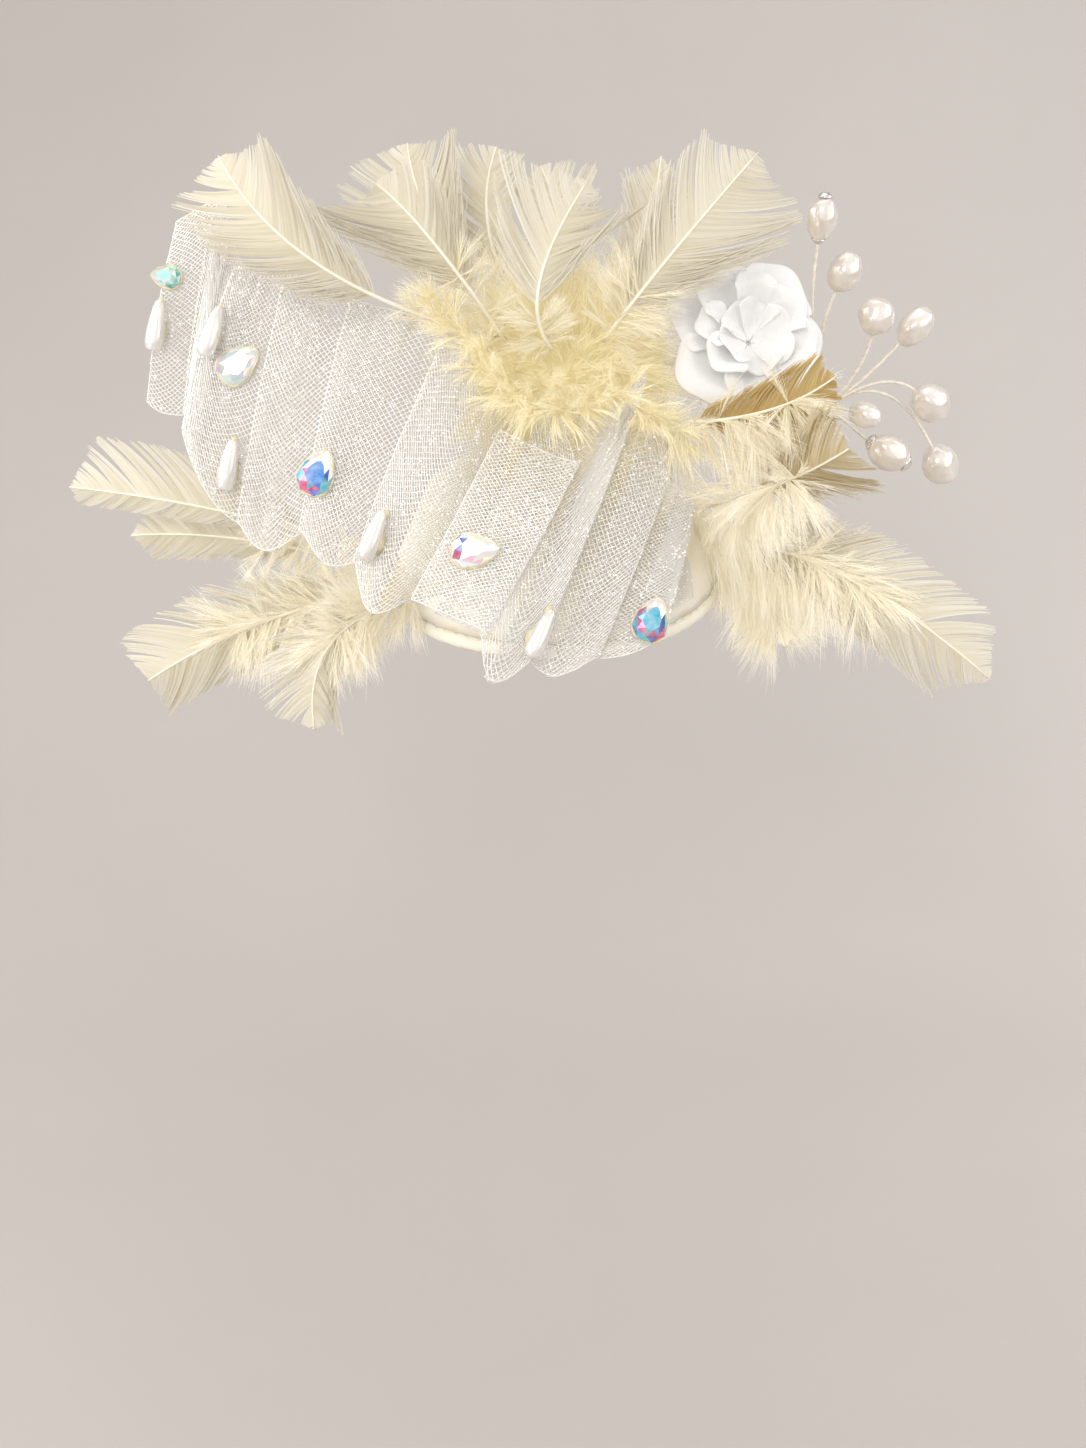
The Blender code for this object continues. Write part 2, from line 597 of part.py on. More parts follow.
def whorl(row, number, frame):
    """Add one whorl of overlapping petals round a small middle."""
    radius = row.radius * FLOWER_RADIUS
    columns = row.petals * PETAL_COLUMNS
    rise = number * (PETAL_WALL + SEAT_GAP)
    points = [frame @ Vector((0, 0, rise))]
    for column in range(columns):
        angle = row.turn + math.tau * column / columns
        share = (column % PETAL_COLUMNS) / (PETAL_COLUMNS - 1)
        outline = 1 - row.notch * abs(2 * share - 1) ** 2
        for ring, lift in zip(row.rings, row.lift):
            reach = radius * ring * (1 + (outline - 1) * ring)
            height = rise + radius * lift + PETAL_STEP * share * ring
            points.append(frame @ Vector((reach * math.cos(angle), reach * math.sin(angle), height)))
    rings = len(row.rings)
    faces = []
    for column in range(columns):
        here, following = 1 + column * rings, 1 + (column + 1) % columns * rings
        faces.append((0, here, following))
        for ring in range(rings - 1):
            faces.append((here + ring, here + ring + 1, following + ring + 1, following + ring))
    petals = add_object(row.name, mesh_from(row.name, points, faces), PETAL)
    wall(petals, PETAL_WALL, 0)
    return petals


def flower(tree, puff_middle):
    """Add the flower's whorls, the outer one on a stem that is seated on the puff."""
    frame = flower_frame()
    whorls = [whorl(row, number, frame) for number, row in enumerate(WHORLS)]
    back = frame @ Vector((0, 0, -PETAL_WALL / 4))
    bow = frame @ Vector((0, 0, -FLOWER_STEM_BOW * FLOWER_STEM_RADIUS))
    foot = seat_on(tree, puff_middle, bow - puff_middle, bow - puff_middle, FLOWER_STEM_RADIUS)
    stem = tube("flower_stem", [foot, bow, back], FLOWER_STEM_RADIUS)
    boolean(whorls[0], stem, "UNION")


def pearl_bead(name, middle, along, wide, long):
    """Add a long round pearl threaded on its wire's end."""
    turn = along.to_track_quat("Z", "Y").to_matrix().to_4x4()
    return ellipsoid(name, middle, (wide, wide, long), turn, 0.0, PEARL, PEARL_SIDES, PEARL_RINGS)


def pearl_spray(tree):
    """Add the wires, fused into one body on a stem, and a pearl on the end of each."""
    root = seat_on(tree, Vector(), SPRAY_ROOT, SPRAY_STEM_BEND, SPRAY_STEM_RADIUS)
    bend, tip = Vector(SPRAY_STEM_BEND) * SPRAY_STEM_LENGTH, Vector(SPRAY_STEM_TIP) * SPRAY_STEM_LENGTH
    hub = root + tip
    stem_points = [bend_point(root, bend, tip, step / 5) for step in range(6)]
    stem_points.append(hub + (stem_points[-1] - stem_points[-2]).normalized() * SPRAY_STEM_RADIUS * 2)
    stem = tube("spray_stem", stem_points, SPRAY_STEM_RADIUS)
    for number, pearl in enumerate(SPRAY_PEARLS, 1):
        middle = hub + Vector(pearl.place) * SPRAY_REACH
        corner = hub + Vector(pearl.bend) * SPRAY_REACH
        along = (middle - corner).normalized()
        half_length = pearl.long * PEARL_RADIUS
        pearl_bead("spray_pearl_%d" % number, middle, along, pearl.wide * PEARL_RADIUS, half_length)
        end = middle - along * (half_length + SEAT_GAP)
        points = [bend_point(hub, corner - hub, end - hub, step / 5) for step in range(6)]
        boolean(stem, tube("spray_wire_%d" % number, points, WIRE_RADIUS), "UNION")
    add_object("spray_wires", evaluated_mesh(stem), WIRE)


def teardrop(jewel, strip):
    """Add a teardrop pearl, a turned shape with its point up."""
    profile = []
    for row in range(TEARDROP_ROWS + 1):
        angle = math.pi * row / TEARDROP_ROWS
        width = TEARDROP_RADIUS * math.sin(angle) * (TEARDROP_WAIST - TEARDROP_LEAN * math.cos(angle))
        profile.append((width, 0, TEARDROP_LENGTH / 2 * math.cos(angle)))
    mesh = bpy.data.meshes.new(jewel.name)
    mesh.from_pydata(profile, [(row, row + 1) for row in range(TEARDROP_ROWS)], [])
    drop = add_object(jewel.name, mesh, DROP)
    screw = drop.modifiers.new("turn", "SCREW")
    screw.steps = TEARDROP_SIDES
    screw.render_steps = TEARDROP_SIDES
    screw.use_merge_vertices = True
    screw.merge_threshold = MERGE
    drop.matrix_world = strip.seat(jewel, TEARDROP_RADIUS) @ Matrix.Rotation(-math.pi / 2, 4, "X")


def crystal(jewel, strip):
    """Add a pear-shaped stone with a flat back, a girdle, crown facets and a table."""
    rings = []
    for size, height in CRYSTAL_RINGS:
        ring = []
        for side in range(CRYSTAL_SIDES):
            angle = math.tau * side / CRYSTAL_SIDES
            width = CRYSTAL_WIDTH / 2 * math.sin(angle) * (1 - CRYSTAL_LEAN * math.cos(angle))
            length = CRYSTAL_LENGTH / 2 * math.cos(angle)
            ring.append(Vector((size * width, size * length, height * CRYSTAL_DEPTH)))
        rings.append(ring)
    stone = add_object(jewel.name, mesh_from(jewel.name, *loft(rings)), CRYSTAL)
    stone.matrix_world = strip.seat(jewel, 0)


def main():
    """Build the fascinator from the base outwards."""
    clear_scene()
    new_collection(COLLECTION)
    new_collection(CUTTERS)
    dome = base_dome()
    edge_binding()
    hair_comb()
    clear_base = base_sizes() + Vector((SEAT_GAP, SEAT_GAP, SEAT_GAP))
    base_cutter = ellipsoid("base_cutter", Vector(), clear_base, base_turn())
    puff_middle = on_base(PUFF_PLACE)
    puff_sizes = Vector((PUFF_HALF_WIDTH, PUFF_HALF_DEPTH, PUFF_HALF_HEIGHT))
    puff = ellipsoid("marabou_puff", puff_middle, puff_sizes, Matrix(), PUFF_LOCK, DOWN,
                     PUFF_COLUMNS, PUFF_ROWS)
    boolean(puff, base_cutter, "DIFFERENCE")
    clear_puff = puff_sizes * (1 + PUFF_LOCK) + Vector((SEAT_GAP, SEAT_GAP, SEAT_GAP))
    puff_cutter = ellipsoid("puff_cutter", puff_middle, clear_puff, Matrix())
    bpy.context.view_layer.update()
    graph = bpy.context.evaluated_depsgraph_get()
    trees = {"base": (BVHTree.FromObject(dome, graph), Vector()),
             "puff": (BVHTree.FromObject(puff, graph), puff_middle)}
    strips = {"left": PleatedStrip(LEFT_FOLDS, LEFT_STACK), "right": PleatedStrip(RIGHT_FOLDS, RIGHT_STACK)}
    for name, strip in strips.items():
        strip.build("crin_" + name, (base_cutter, puff_cutter))
    for row in PLUMES:
        plume(row, *trees[row.seat])
    flower(*trees["puff"])
    pearl_spray(trees["base"][0])
    for jewel in TEARDROPS:
        teardrop(jewel, strips[jewel.strip])
    for jewel in CRYSTALS:
        crystal(jewel, strips[jewel.strip])


main()
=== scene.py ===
"""Looks of a feather fascinator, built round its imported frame.

Everything is in metres in the frame's own axes: +Z up, seen from -Y. Pleated net, feathers, a fabric flower,
a pearl spray and glued jewels replace the frame's plain solids, each in the place of the solid it stands for.
"""

import logging
import math
import random
from dataclasses import dataclass, field
from enum import Enum
from typing import Callable, NamedTuple, Optional, Sequence, Union

import bmesh
import bpy
from mathutils import Matrix, Vector, noise
from mathutils.bvhtree import BVHTree


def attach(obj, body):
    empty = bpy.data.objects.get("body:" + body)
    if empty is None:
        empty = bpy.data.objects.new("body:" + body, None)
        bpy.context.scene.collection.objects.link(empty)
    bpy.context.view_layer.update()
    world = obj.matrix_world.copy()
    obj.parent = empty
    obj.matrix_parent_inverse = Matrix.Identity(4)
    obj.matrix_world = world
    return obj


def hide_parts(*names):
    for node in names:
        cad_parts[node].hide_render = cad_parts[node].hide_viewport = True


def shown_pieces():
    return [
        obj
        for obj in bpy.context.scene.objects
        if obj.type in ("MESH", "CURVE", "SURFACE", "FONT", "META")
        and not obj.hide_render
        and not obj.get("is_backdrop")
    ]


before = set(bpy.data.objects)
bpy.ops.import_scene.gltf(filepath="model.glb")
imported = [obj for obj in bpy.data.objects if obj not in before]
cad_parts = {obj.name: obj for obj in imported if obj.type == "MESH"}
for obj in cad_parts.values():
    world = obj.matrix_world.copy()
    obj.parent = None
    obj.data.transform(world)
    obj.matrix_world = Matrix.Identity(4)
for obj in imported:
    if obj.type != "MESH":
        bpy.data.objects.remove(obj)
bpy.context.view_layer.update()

log = logging.getLogger("feather_fascinator")

BODY = "root"
SEAT_GAP = 0.0003
NOISE_SEED = 5
TUBE_SIDES = 8

Triple = tuple[float, float, float]
Colour = tuple[float, float, float, float]
Piece = bpy.types.Object
Mesh = bpy.types.Mesh
Material = bpy.types.Material
Tree = bpy.types.NodeTree
Node = bpy.types.Node
Socket = bpy.types.NodeSocket
Wire = Union[Socket, Node, float, int, str, Sequence[float], Material]


class Slot(Enum):
    """The material slots that pieces are handed over with."""

    SATIN = "satin"
    COMB = "comb"
    NET = "net"
    DOWN = "down"
    FEATHER = "feather"
    TAN_FEATHER = "tan_feather"
    PETAL = "petal"
    WIRE = "wire"
    PEARL = "pearl"
    DROP = "drop"
    CRYSTAL = "crystal"


class Side(Enum):
    """A side of a feather's shaft, seen from the front with the tip up."""

    LEFT = -1
    RIGHT = 1


def paint(code: str) -> Colour:
    """Turn a colour code of six hex digits into linear light.

    Args:
        code: the colour as it shows on screen.

    Returns:
        Red, green, blue and an alpha of one.
    """
    shares = [int(code[start:start + 2], 16) / 255 for start in (0, 2, 4)]
    light = [share / 12.92 if share <= 0.04045 else ((share + 0.055) / 1.055) ** 2.4 for share in shares]
    return (*light, 1.0)


def bend_point(root: Vector, bend: Vector, tip: Vector, share: float) -> Vector:
    """Return the place at a share of a bow, whose control point and tip are measured from its root."""
    return root + bend * (2 * share * (1 - share)) + tip * share ** 2


def smooth_place(points: Sequence[Vector], place: float) -> Vector:
    """Find a place on a smooth curve through points.

    Args:
        points: the points, in order.
        place: 0 at the first point, 1 at the second, and so on.

    Returns:
        The place on the curve.
    """
    index = max(0, min(int(place), len(points) - 2))
    share = place - index
    first, second = points[index], points[index + 1]
    before = points[max(index - 1, 0)]
    after = points[min(index + 2, len(points) - 1)]
    return 0.5 * (2 * first + (second - before) * share
                  + (2 * before - 5 * first + 4 * second - after) * share ** 2
                  + (3 * first - before - 3 * second + after) * share ** 3)


class NodeCanvas:
    """A node tree that is being drawn."""

    def __init__(self, tree: Tree) -> None:
        """Start on a tree."""
        self.tree = tree

    def node(self, kind: str, inputs: Optional[dict[Union[str, int], Wire]] = None,
             **settings: object) -> Node:
        """Add a node.

        Args:
            kind: the node's type.
            inputs: what each named or numbered input takes: a node, a socket or a value.
            **settings: the node's own properties.

        Returns:
            The new node.
        """
        node = self.tree.nodes.new(kind)
        for name, value in settings.items():
            setattr(node, name, value)
        for key, value in (inputs or {}).items():
            self.feed(node.inputs[key], value)
        return node

    def feed(self, socket: Socket, value: Wire) -> None:
        """Give an input a wire or a value.

        Args:
            socket: the input.
            value: a node, whose first output is wired, a socket, or a plain value.
        """
        if isinstance(value, Node):
            self.tree.links.new(value.outputs[0], socket)
        elif isinstance(value, Socket):
            self.tree.links.new(value, socket)
        else:
            socket.default_value = value

    def math(self, operation: str, *values: Wire) -> Node:
        """Add a Math node with its inputs in order."""
        return self.node("ShaderNodeMath", dict(enumerate(values)), operation=operation)

    def vector(self, operation: str, first: Wire, second: Wire) -> Node:
        """Add a Vector Math node, whose second input is a factor when it scales."""
        second_input = "Scale" if operation == "SCALE" else 1
        return self.node("ShaderNodeVectorMath", {0: first, second_input: second}, operation=operation)

    def mix(self, factor: Wire, first: Wire, second: Wire) -> Socket:
        """Add a colour Mix node.

        Args:
            factor: how much of the second colour shows.
            first: the first colour.
            second: the second colour.

        Returns:
            The mixed colour's socket.
        """
        return self.node("ShaderNodeMix", {0: factor, 6: first, 7: second}, data_type="RGBA").outputs[2]

    def group(self, tree: Tree, **values: Wire) -> Node:
        """Add a node group with its inputs by name, an underscore for each space."""
        inputs = {label.replace("_", " "): value for label, value in values.items()}
        return self.node("ShaderNodeGroup", inputs, node_tree=tree)

    def emboss(self, shader: Node, height: Wire, strength: float, distance: float) -> None:
        """Give a shader a bumped skin, whose bumps are as high as the distance."""
        bump = self.node("ShaderNodeBump", {"Height": height, "Strength": strength, "Distance": distance})
        self.feed(shader.inputs["Normal"], bump)


Sockets = bpy.types.bpy_prop_collection
Draw = Callable[[NodeCanvas, Sockets], Wire]
SocketPlan = dict[str, Union[None, float, int, Colour]]
SOCKET_TYPES = {float: "NodeSocketFloat", int: "NodeSocketInt", tuple: "NodeSocketColor"}


def drawn_group(name: str, kind: str, inputs: SocketPlan, output: SocketPlan
                ) -> Callable[[Draw], Callable[[], Tree]]:
    """Turn a function that draws from given sockets to the only output into one that returns the group.

    Args:
        name: the group's name.
        kind: the tree's type.
        inputs: the default of each input, or None for geometry and for a material.
        output: the same of the output.

    Returns:
        What turns the function. The group is drawn on first use.
    """
    def turn(draw: Draw) -> Callable[[], Tree]:
        """Turn one drawing function."""
        def find() -> Tree:
            """Return the group."""
            found = bpy.data.node_groups.get(name)
            if found:
                return found
            tree = bpy.data.node_groups.new(name, kind)
            for plan, way in ((inputs, "INPUT"), (output, "OUTPUT")):
                for label, default in plan.items():
                    socket_type = SOCKET_TYPES.get(type(default), "NodeSocket" + label)
                    socket = tree.interface.new_socket(label, in_out=way, socket_type=socket_type)
                    if default is not None:
                        socket.default_value = default
            canvas = NodeCanvas(tree)
            drawn = draw(canvas, canvas.node("NodeGroupInput").outputs)
            canvas.feed(canvas.node("NodeGroupOutput").inputs[0], drawn)
            return tree

        return find

    return turn


def add_piece(name: str, mesh: Mesh) -> Piece:
    """Put a mesh into the scene as a named object and return the object."""
    piece = bpy.data.objects.new(name, mesh)
    bpy.context.scene.collection.objects.link(piece)
    return piece


def store(mesh: Mesh, label: str, values: Sequence[Union[float, Vector]]) -> None:
    """Keep a number or a vector for every point of a mesh.

    Args:
        mesh: the mesh.
        label: the attribute's name.
        values: a value for each point.
    """
    if isinstance(values[0], Vector):
        flat = [share for vector in values for share in vector]
        mesh.attributes.new(label, "FLOAT_VECTOR", "POINT").data.foreach_set("vector", flat)
    else:
        mesh.attributes.new(label, "FLOAT", "POINT").data.foreach_set("value", values)


def start_piece(name: str, points: Sequence[Vector], edges: Sequence[tuple[int, int]] = (),
                faces: Sequence[tuple[int, ...]] = (), **values: Sequence[Union[float, Vector]]
                ) -> Piece:
    """Put a new mesh into the scene.

    Args:
        name: the object's name.
        points: the mesh's points.
        edges: its loose edges.
        faces: its faces.
        **values: what each named attribute holds for every point.

    Returns:
        The object.
    """
    mesh = bpy.data.meshes.new(name)
    mesh.from_pydata([tuple(point) for point in points], list(edges), list(faces))
    for label, kept in values.items():
        store(mesh, label, kept)
    return add_piece(name, mesh)


def apply_modifiers(piece: Piece) -> Piece:
    """Keep the result of an object's modifiers as its mesh and return the object."""
    bpy.context.view_layer.update()
    graph = bpy.context.evaluated_depsgraph_get()
    start, mesh = piece.data, bpy.data.meshes.new_from_object(piece.evaluated_get(graph))
    piece.modifiers.clear()
    piece.data = mesh
    bpy.data.meshes.remove(start)
    mesh.name = piece.name
    return piece


def run_tree(piece: Piece, tree: Tree, values: dict[str, Wire]) -> Piece:
    """Run a Geometry Nodes tree on an object and keep the result as its mesh.

    Args:
        piece: the object that holds the tree's points or paths.
        tree: the tree.
        values: the tree's inputs by name.

    Returns:
        The same object with its new mesh and no modifier.
    """
    modifier = piece.modifiers.new(tree.name, "NODES")
    modifier.node_group = tree
    for item in tree.interface.items_tree:
        if item.in_out == "INPUT" and item.name in values:
            modifier[item.identifier] = values[item.name]
    return apply_modifiers(piece)


@dataclass
class Draft:
    """A mesh in the making: points, faces, and each face's material."""

    points: list[Vector] = field(default_factory=list)
    faces: list[tuple[int, ...]] = field(default_factory=list)
    marks: list[int] = field(default_factory=list)

    def add_rings(self, rings: Sequence[Sequence[Vector]], mark: int = 0, closed: bool = True,
                  caps: bool = True) -> None:
        """Add a skin through rings of equal counts.

        Args:
            rings: the rings, in order.
            mark: the faces' material.
            closed: whether each ring's last point joins its first.
            caps: whether the two ends are covered.
        """
        start, sides = len(self.points), len(rings[0])
        self.points += [Vector(point) for ring in rings for point in ring]
        before = len(self.faces)
        for row in range(len(rings) - 1):
            for side in range(sides if closed else sides - 1):
                near, following = start + row * sides, (side + 1) % sides
                self.faces.append((near + side, near + following, near + sides + following, near + sides + side))
        if caps and closed:
            last = start + (len(rings) - 1) * sides
            self.faces.append(tuple(reversed(range(start, start + sides))))
            self.faces.append(tuple(range(last, last + sides)))
        self.marks += [mark] * (len(self.faces) - before)

    def add_tube(self, path: Sequence[Vector], radii: Sequence[float], lobes: int = 0, twist: float = 0.0,
                 lobe_depth: float = 0.0) -> None:
        """Add a tube of eight sides along a path.

        Args:
            path: the middle of each ring.
            radii: each ring's radius.
            lobes: how many plies show round the tube.
            twist: the plies' turn from ring to ring, in radians.
            lobe_depth: how far the plies stand proud, as a share of the radius.
        """
        rings = []
        side = None
        for number, place in enumerate(path):
            along = (path[min(number + 1, len(path) - 1)] - path[max(number - 1, 0)]).normalized()
            if side is None:
                side = along.orthogonal().normalized()
            side = (side - along * side.dot(along)).normalized()
            other = along.cross(side)
            ring = []
            for corner in range(TUBE_SIDES):
                angle = math.tau * corner / TUBE_SIDES
                reach = radii[number] * (1 + lobe_depth * math.cos(lobes * angle + twist * number))
                ring.append(place + side * (reach * math.cos(angle)) + other * (reach * math.sin(angle)))
            rings.append(ring)
        self.add_rings(rings)

    def add_turned(self, profile: Sequence[tuple[float, float]], placed: Matrix, sides: int, mark: int = 0,
                   shift: Optional[Callable[[Vector], Vector]] = None) -> None:
        """Add a turned shape whose profile starts and ends near its axis.

        Args:
            profile: radius and height of each ring, the top first.
            placed: the matrix that puts the shape in its place.
            sides: points in a ring.
            mark: the faces' material.
            shift: moves each point before it is placed.
        """
        rings = []
        for radius, height in reversed(profile):
            ring = []
            for corner in range(sides):
                angle = math.tau * corner / sides
                point = Vector((radius * math.cos(angle), radius * math.sin(angle), height))
                ring.append(placed @ (shift(point) if shift else point))
            rings.append(ring)
        self.add_rings(rings, mark)

    def build(self, name: str, materials: Sequence[Material]) -> Piece:
        """Make the object, shaded smooth.

        Args:
            name: the piece's name.
            materials: its materials, in the marks' order.

        Returns:
            The object, in the scene.
        """
        piece = start_piece(name, self.points, faces=self.faces)
        for material in materials:
            piece.data.materials.append(material)
        piece.data.polygons.foreach_set("material_index", self.marks)
        piece.data.polygons.foreach_set("use_smooth", [True] * len(self.faces))
        return piece


def hand_over(piece: Piece, slot: Slot, *nodes: str) -> Piece:
    """Tie a finished piece to the frame.

    Args:
        piece: the piece.
        slot: the material slot that its finish belongs to; not used.
        *nodes: the frame's solids that it stands for.

    Returns:
        The piece.
    """
    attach(piece, BODY)
    if nodes:
        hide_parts(*nodes)
    log.info("%s: %d faces", piece.name, len(piece.data.polygons))
    return piece


# Shared shader effects


WHITE = paint("FFFFFF")


@drawn_group("Cloudy Noise", "ShaderNodeTree", {"Scale": 100.0, "High": 1.0}, {"Mask": 0.0})
def cloudy_noise(canvas: NodeCanvas, given: Sockets) -> Wire:
    """Draw a soft patchy mask, up to a limit, from the piece's own coordinates."""
    place = canvas.node("ShaderNodeTexCoord").outputs["Object"]
    cloud = canvas.node("ShaderNodeTexNoise", {"Vector": place, "Scale": given["Scale"],
                                               "Detail": 4.0, "Roughness": 0.6})
    return canvas.node("ShaderNodeMapRange", {"Value": cloud.outputs[0], "From Min": 0.3, "From Max": 0.7,
                                              "To Max": given["High"]})


@drawn_group("Cloth Weave", "ShaderNodeTree", {"Threads": 600.0}, {"Height": 0.0})
def cloth_weave(canvas: NodeCanvas, given: Sockets) -> Wire:
    """Draw the height of a fine plain weave: two crossed sets of threads with a little unevenness."""
    place = canvas.node("ShaderNodeTexCoord").outputs["Object"]
    heights = [canvas.node("ShaderNodeTexWave", {"Vector": place, "Scale": given["Threads"],
                                                 "Distortion": 1.2, "Detail": 1.0},
                           wave_type="BANDS", bands_direction=direction, wave_profile="SIN").outputs["Fac"]
               for direction in ("X", "Z")]
    woven = canvas.math("MULTIPLY", *heights)
    return canvas.math("ADD", woven, canvas.math("MULTIPLY", heights[0], 0.4))


@drawn_group("Strand Colour", "ShaderNodeTree", {"Pale": WHITE, "Deep": WHITE, "Root": WHITE, "Root Share": 0.5},
             {"Colour": WHITE})
def strand_colour(canvas: NodeCanvas, given: Sockets) -> Wire:
    """Draw a strand's colour: from pale to deep by its tone, then towards the root colour near the root, which is
    painted shade where the strands crowd together.
    """
    tone = canvas.node("ShaderNodeAttribute", attribute_name="tone").outputs["Fac"]
    along = canvas.node("ShaderNodeAttribute", attribute_name="along").outputs["Fac"]
    body = canvas.mix(tone, given["Pale"], given["Deep"])
    # Painted shade: near the root the colour turns towards the darker, warmer root shade colour.
    shaded_near_root = canvas.math("POWER", canvas.math("SUBTRACT", 1.0, along), 2.0)
    depth = canvas.math("MULTIPLY", shaded_near_root, given["Root Share"])
    return canvas.mix(depth, body, given["Root"])


def start_material(name: str, settings: dict[str, Union[float, Colour, Triple]]
                   ) -> tuple[Material, NodeCanvas, Node]:
    """Make a material with one Principled shader.

    Args:
        name: the material's name.
        settings: the shader's constant values by socket name.

    Returns:
        The material, its canvas and the shader.
    """
    material = bpy.data.materials.new(name)
    material.use_nodes = True
    material.node_tree.nodes.clear()
    canvas = NodeCanvas(material.node_tree)
    shader = canvas.node("ShaderNodeBsdfPrincipled", settings)
    output = canvas.node("ShaderNodeOutputMaterial")
    canvas.feed(output.inputs["Surface"], shader)
    return material, canvas, shader


class Finish:
    """A finish whose material is made once and shared."""

    name: str

    def material(self) -> Material:
        """Return the finish's material, made on first use."""
        return bpy.data.materials.get(self.name) or self.make()

    def make(self) -> Material:
        """Make the material."""
        raise NotImplementedError


@dataclass(frozen=True)
class PlumageFinish(Finish):
    """Barbs and down: soft, matte strands, with painted shade near the root and a painted glow in that shade's
    colour, which stands for the light that they pass on to each other.
    """

    name: str
    pale: str
    deep: str
    # root: the colour of the painted shade near the root, which the painted glow takes too
    root: str
    root_shade_share: float
    roughness: float = 0.62
    sheen: float = 0.25
    painted_glow: float = 0.0

    def make(self) -> Material:
        """Make the material."""
        # Painted glow: the strands give off light in the root colour, which lifts and warms their shade.
        material, canvas, shader = start_material(self.name, {
            "Roughness": self.roughness, "Sheen Weight": self.sheen, "Sheen Roughness": 0.4,
            "Specular IOR Level": 0.35, "Emission Color": paint(self.root), "Emission Strength": self.painted_glow})
        colour = canvas.group(strand_colour(), Pale=paint(self.pale), Deep=paint(self.deep),
                              Root=paint(self.root), Root_Share=self.root_shade_share)
        cloud = canvas.group(cloudy_noise(), Scale=120.0, High=0.25)
        canvas.feed(shader.inputs["Base Color"], canvas.mix(cloud, colour, paint(self.pale)))
        return material


@dataclass(frozen=True)
class NetFinish(Finish):
    """Glassy white threads with a faint painted glow; short pieces at some crossings carry painted glints, coloured
    white and glowing white.
    """

    name: str = "Net Thread"
    pale: str = "FDFCFA"
    deep: str = "E6E1D9"
    painted_glow_colour: str = "242322"

    def make(self) -> Material:
        """Make the material."""
        material, canvas, shader = start_material(self.name, {
            "Specular IOR Level": 0.8, "Coat Weight": 0.7, "Coat Roughness": 0.12, "Emission Strength": 0.45})
        cloud = canvas.group(cloudy_noise(), Scale=900.0)
        glint = canvas.node("ShaderNodeAttribute", attribute_name="glint").outputs["Fac"]
        thread = canvas.mix(cloud, paint(self.pale), paint(self.deep))
        # Painted glints: glint pieces turn white and give off white light; the other threads give off a faint grey
        # painted glow.
        canvas.feed(shader.inputs["Base Color"], canvas.mix(glint, thread, WHITE))
        canvas.feed(shader.inputs["Emission Color"], canvas.mix(glint, paint(self.painted_glow_colour), WHITE))
        polish = canvas.node("ShaderNodeMapRange", {"Value": cloud, "To Min": 0.12, "To Max": 0.5})
        canvas.feed(shader.inputs["Roughness"], polish)
        return material


@dataclass(frozen=True)
class ClothFinish(Finish):
    """Satin or flower fabric: patchy colour and a sheen on a fine weave, with an optional painted glow in the
    fabric's own colour that lifts its shade.
    """

    name: str
    light: str
    dark: str
    roughness: float
    sheen: float
    sheen_roughness: float
    cloud_scale: float
    threads: float
    relief: float
    specular: float = 0.5
    anisotropic: float = 0.0
    painted_glow: float = 0.0

    def make(self) -> Material:
        """Make the material."""
        material, canvas, shader = start_material(self.name, {
            "Roughness": self.roughness, "Sheen Weight": self.sheen, "Sheen Roughness": self.sheen_roughness,
            "Specular IOR Level": self.specular, "Anisotropic": self.anisotropic, "Emission Strength": self.painted_glow})
        cloud = canvas.group(cloudy_noise(), Scale=self.cloud_scale)
        cloth = canvas.mix(cloud, paint(self.light), paint(self.dark))
        canvas.feed(shader.inputs["Base Color"], cloth)
        # Painted glow: the fabric gives off light in its own colour.
        if self.painted_glow:
            canvas.feed(shader.inputs["Emission Color"], cloth)
        canvas.emboss(shader, canvas.group(cloth_weave(), Threads=self.threads), self.relief, 0.0002)
        return material


@dataclass(frozen=True)
class GlossFinish(Finish):
    """Quill, pearl, glue or plastic: a smooth body under a clear coat, with patchy colour and a faint relief."""

    name: str
    light: str
    deep: str
    roughness: float
    coat: float
    cloud_scale: float = 150.0
    relief: float = 0.0
    metallic: float = 0.0
    transmission: float = 0.0
    sheen: float = 0.0
    coat_roughness: float = 0.06
    patches: float = 1.0

    def make(self) -> Material:
        """Make the material."""
        material, canvas, shader = start_material(self.name, {
            "Roughness": self.roughness, "Coat Weight": self.coat, "Coat Roughness": self.coat_roughness,
            "Metallic": self.metallic, "Transmission Weight": self.transmission, "Sheen Weight": self.sheen})
        cloud = canvas.group(cloudy_noise(), Scale=self.cloud_scale, High=self.patches)
        canvas.feed(shader.inputs["Base Color"], canvas.mix(cloud, paint(self.light), paint(self.deep)))
        if self.relief:
            canvas.emboss(shader, cloud, 0.3, self.relief)
        return material


@dataclass(frozen=True)
class FacetFinish(Finish):
    """Foil-backed crystal whose facets each hold a fixed colour: painted reflections of its rainbow coat, patched
    with white, with a painted glow in the same colour.
    """

    name: str = "Rainbow Crystal"

    def make(self) -> Material:
        """Make the material."""
        material, canvas, shader = start_material(self.name, {
            "Roughness": 0.06, "Metallic": 0.55, "Coat Weight": 1.0, "Coat Roughness": 0.02,
            "Emission Strength": 0.12})
        facet = canvas.node("ShaderNodeAttribute", attribute_name="facet").outputs["Color"]
        cloud = canvas.group(cloudy_noise(), Scale=400.0, High=0.35)
        colour = canvas.mix(cloud, facet, WHITE)
        canvas.feed(shader.inputs["Base Color"], colour)
        # Painted glow in the facet's colour.
        canvas.feed(shader.inputs["Emission Color"], colour)
        return material


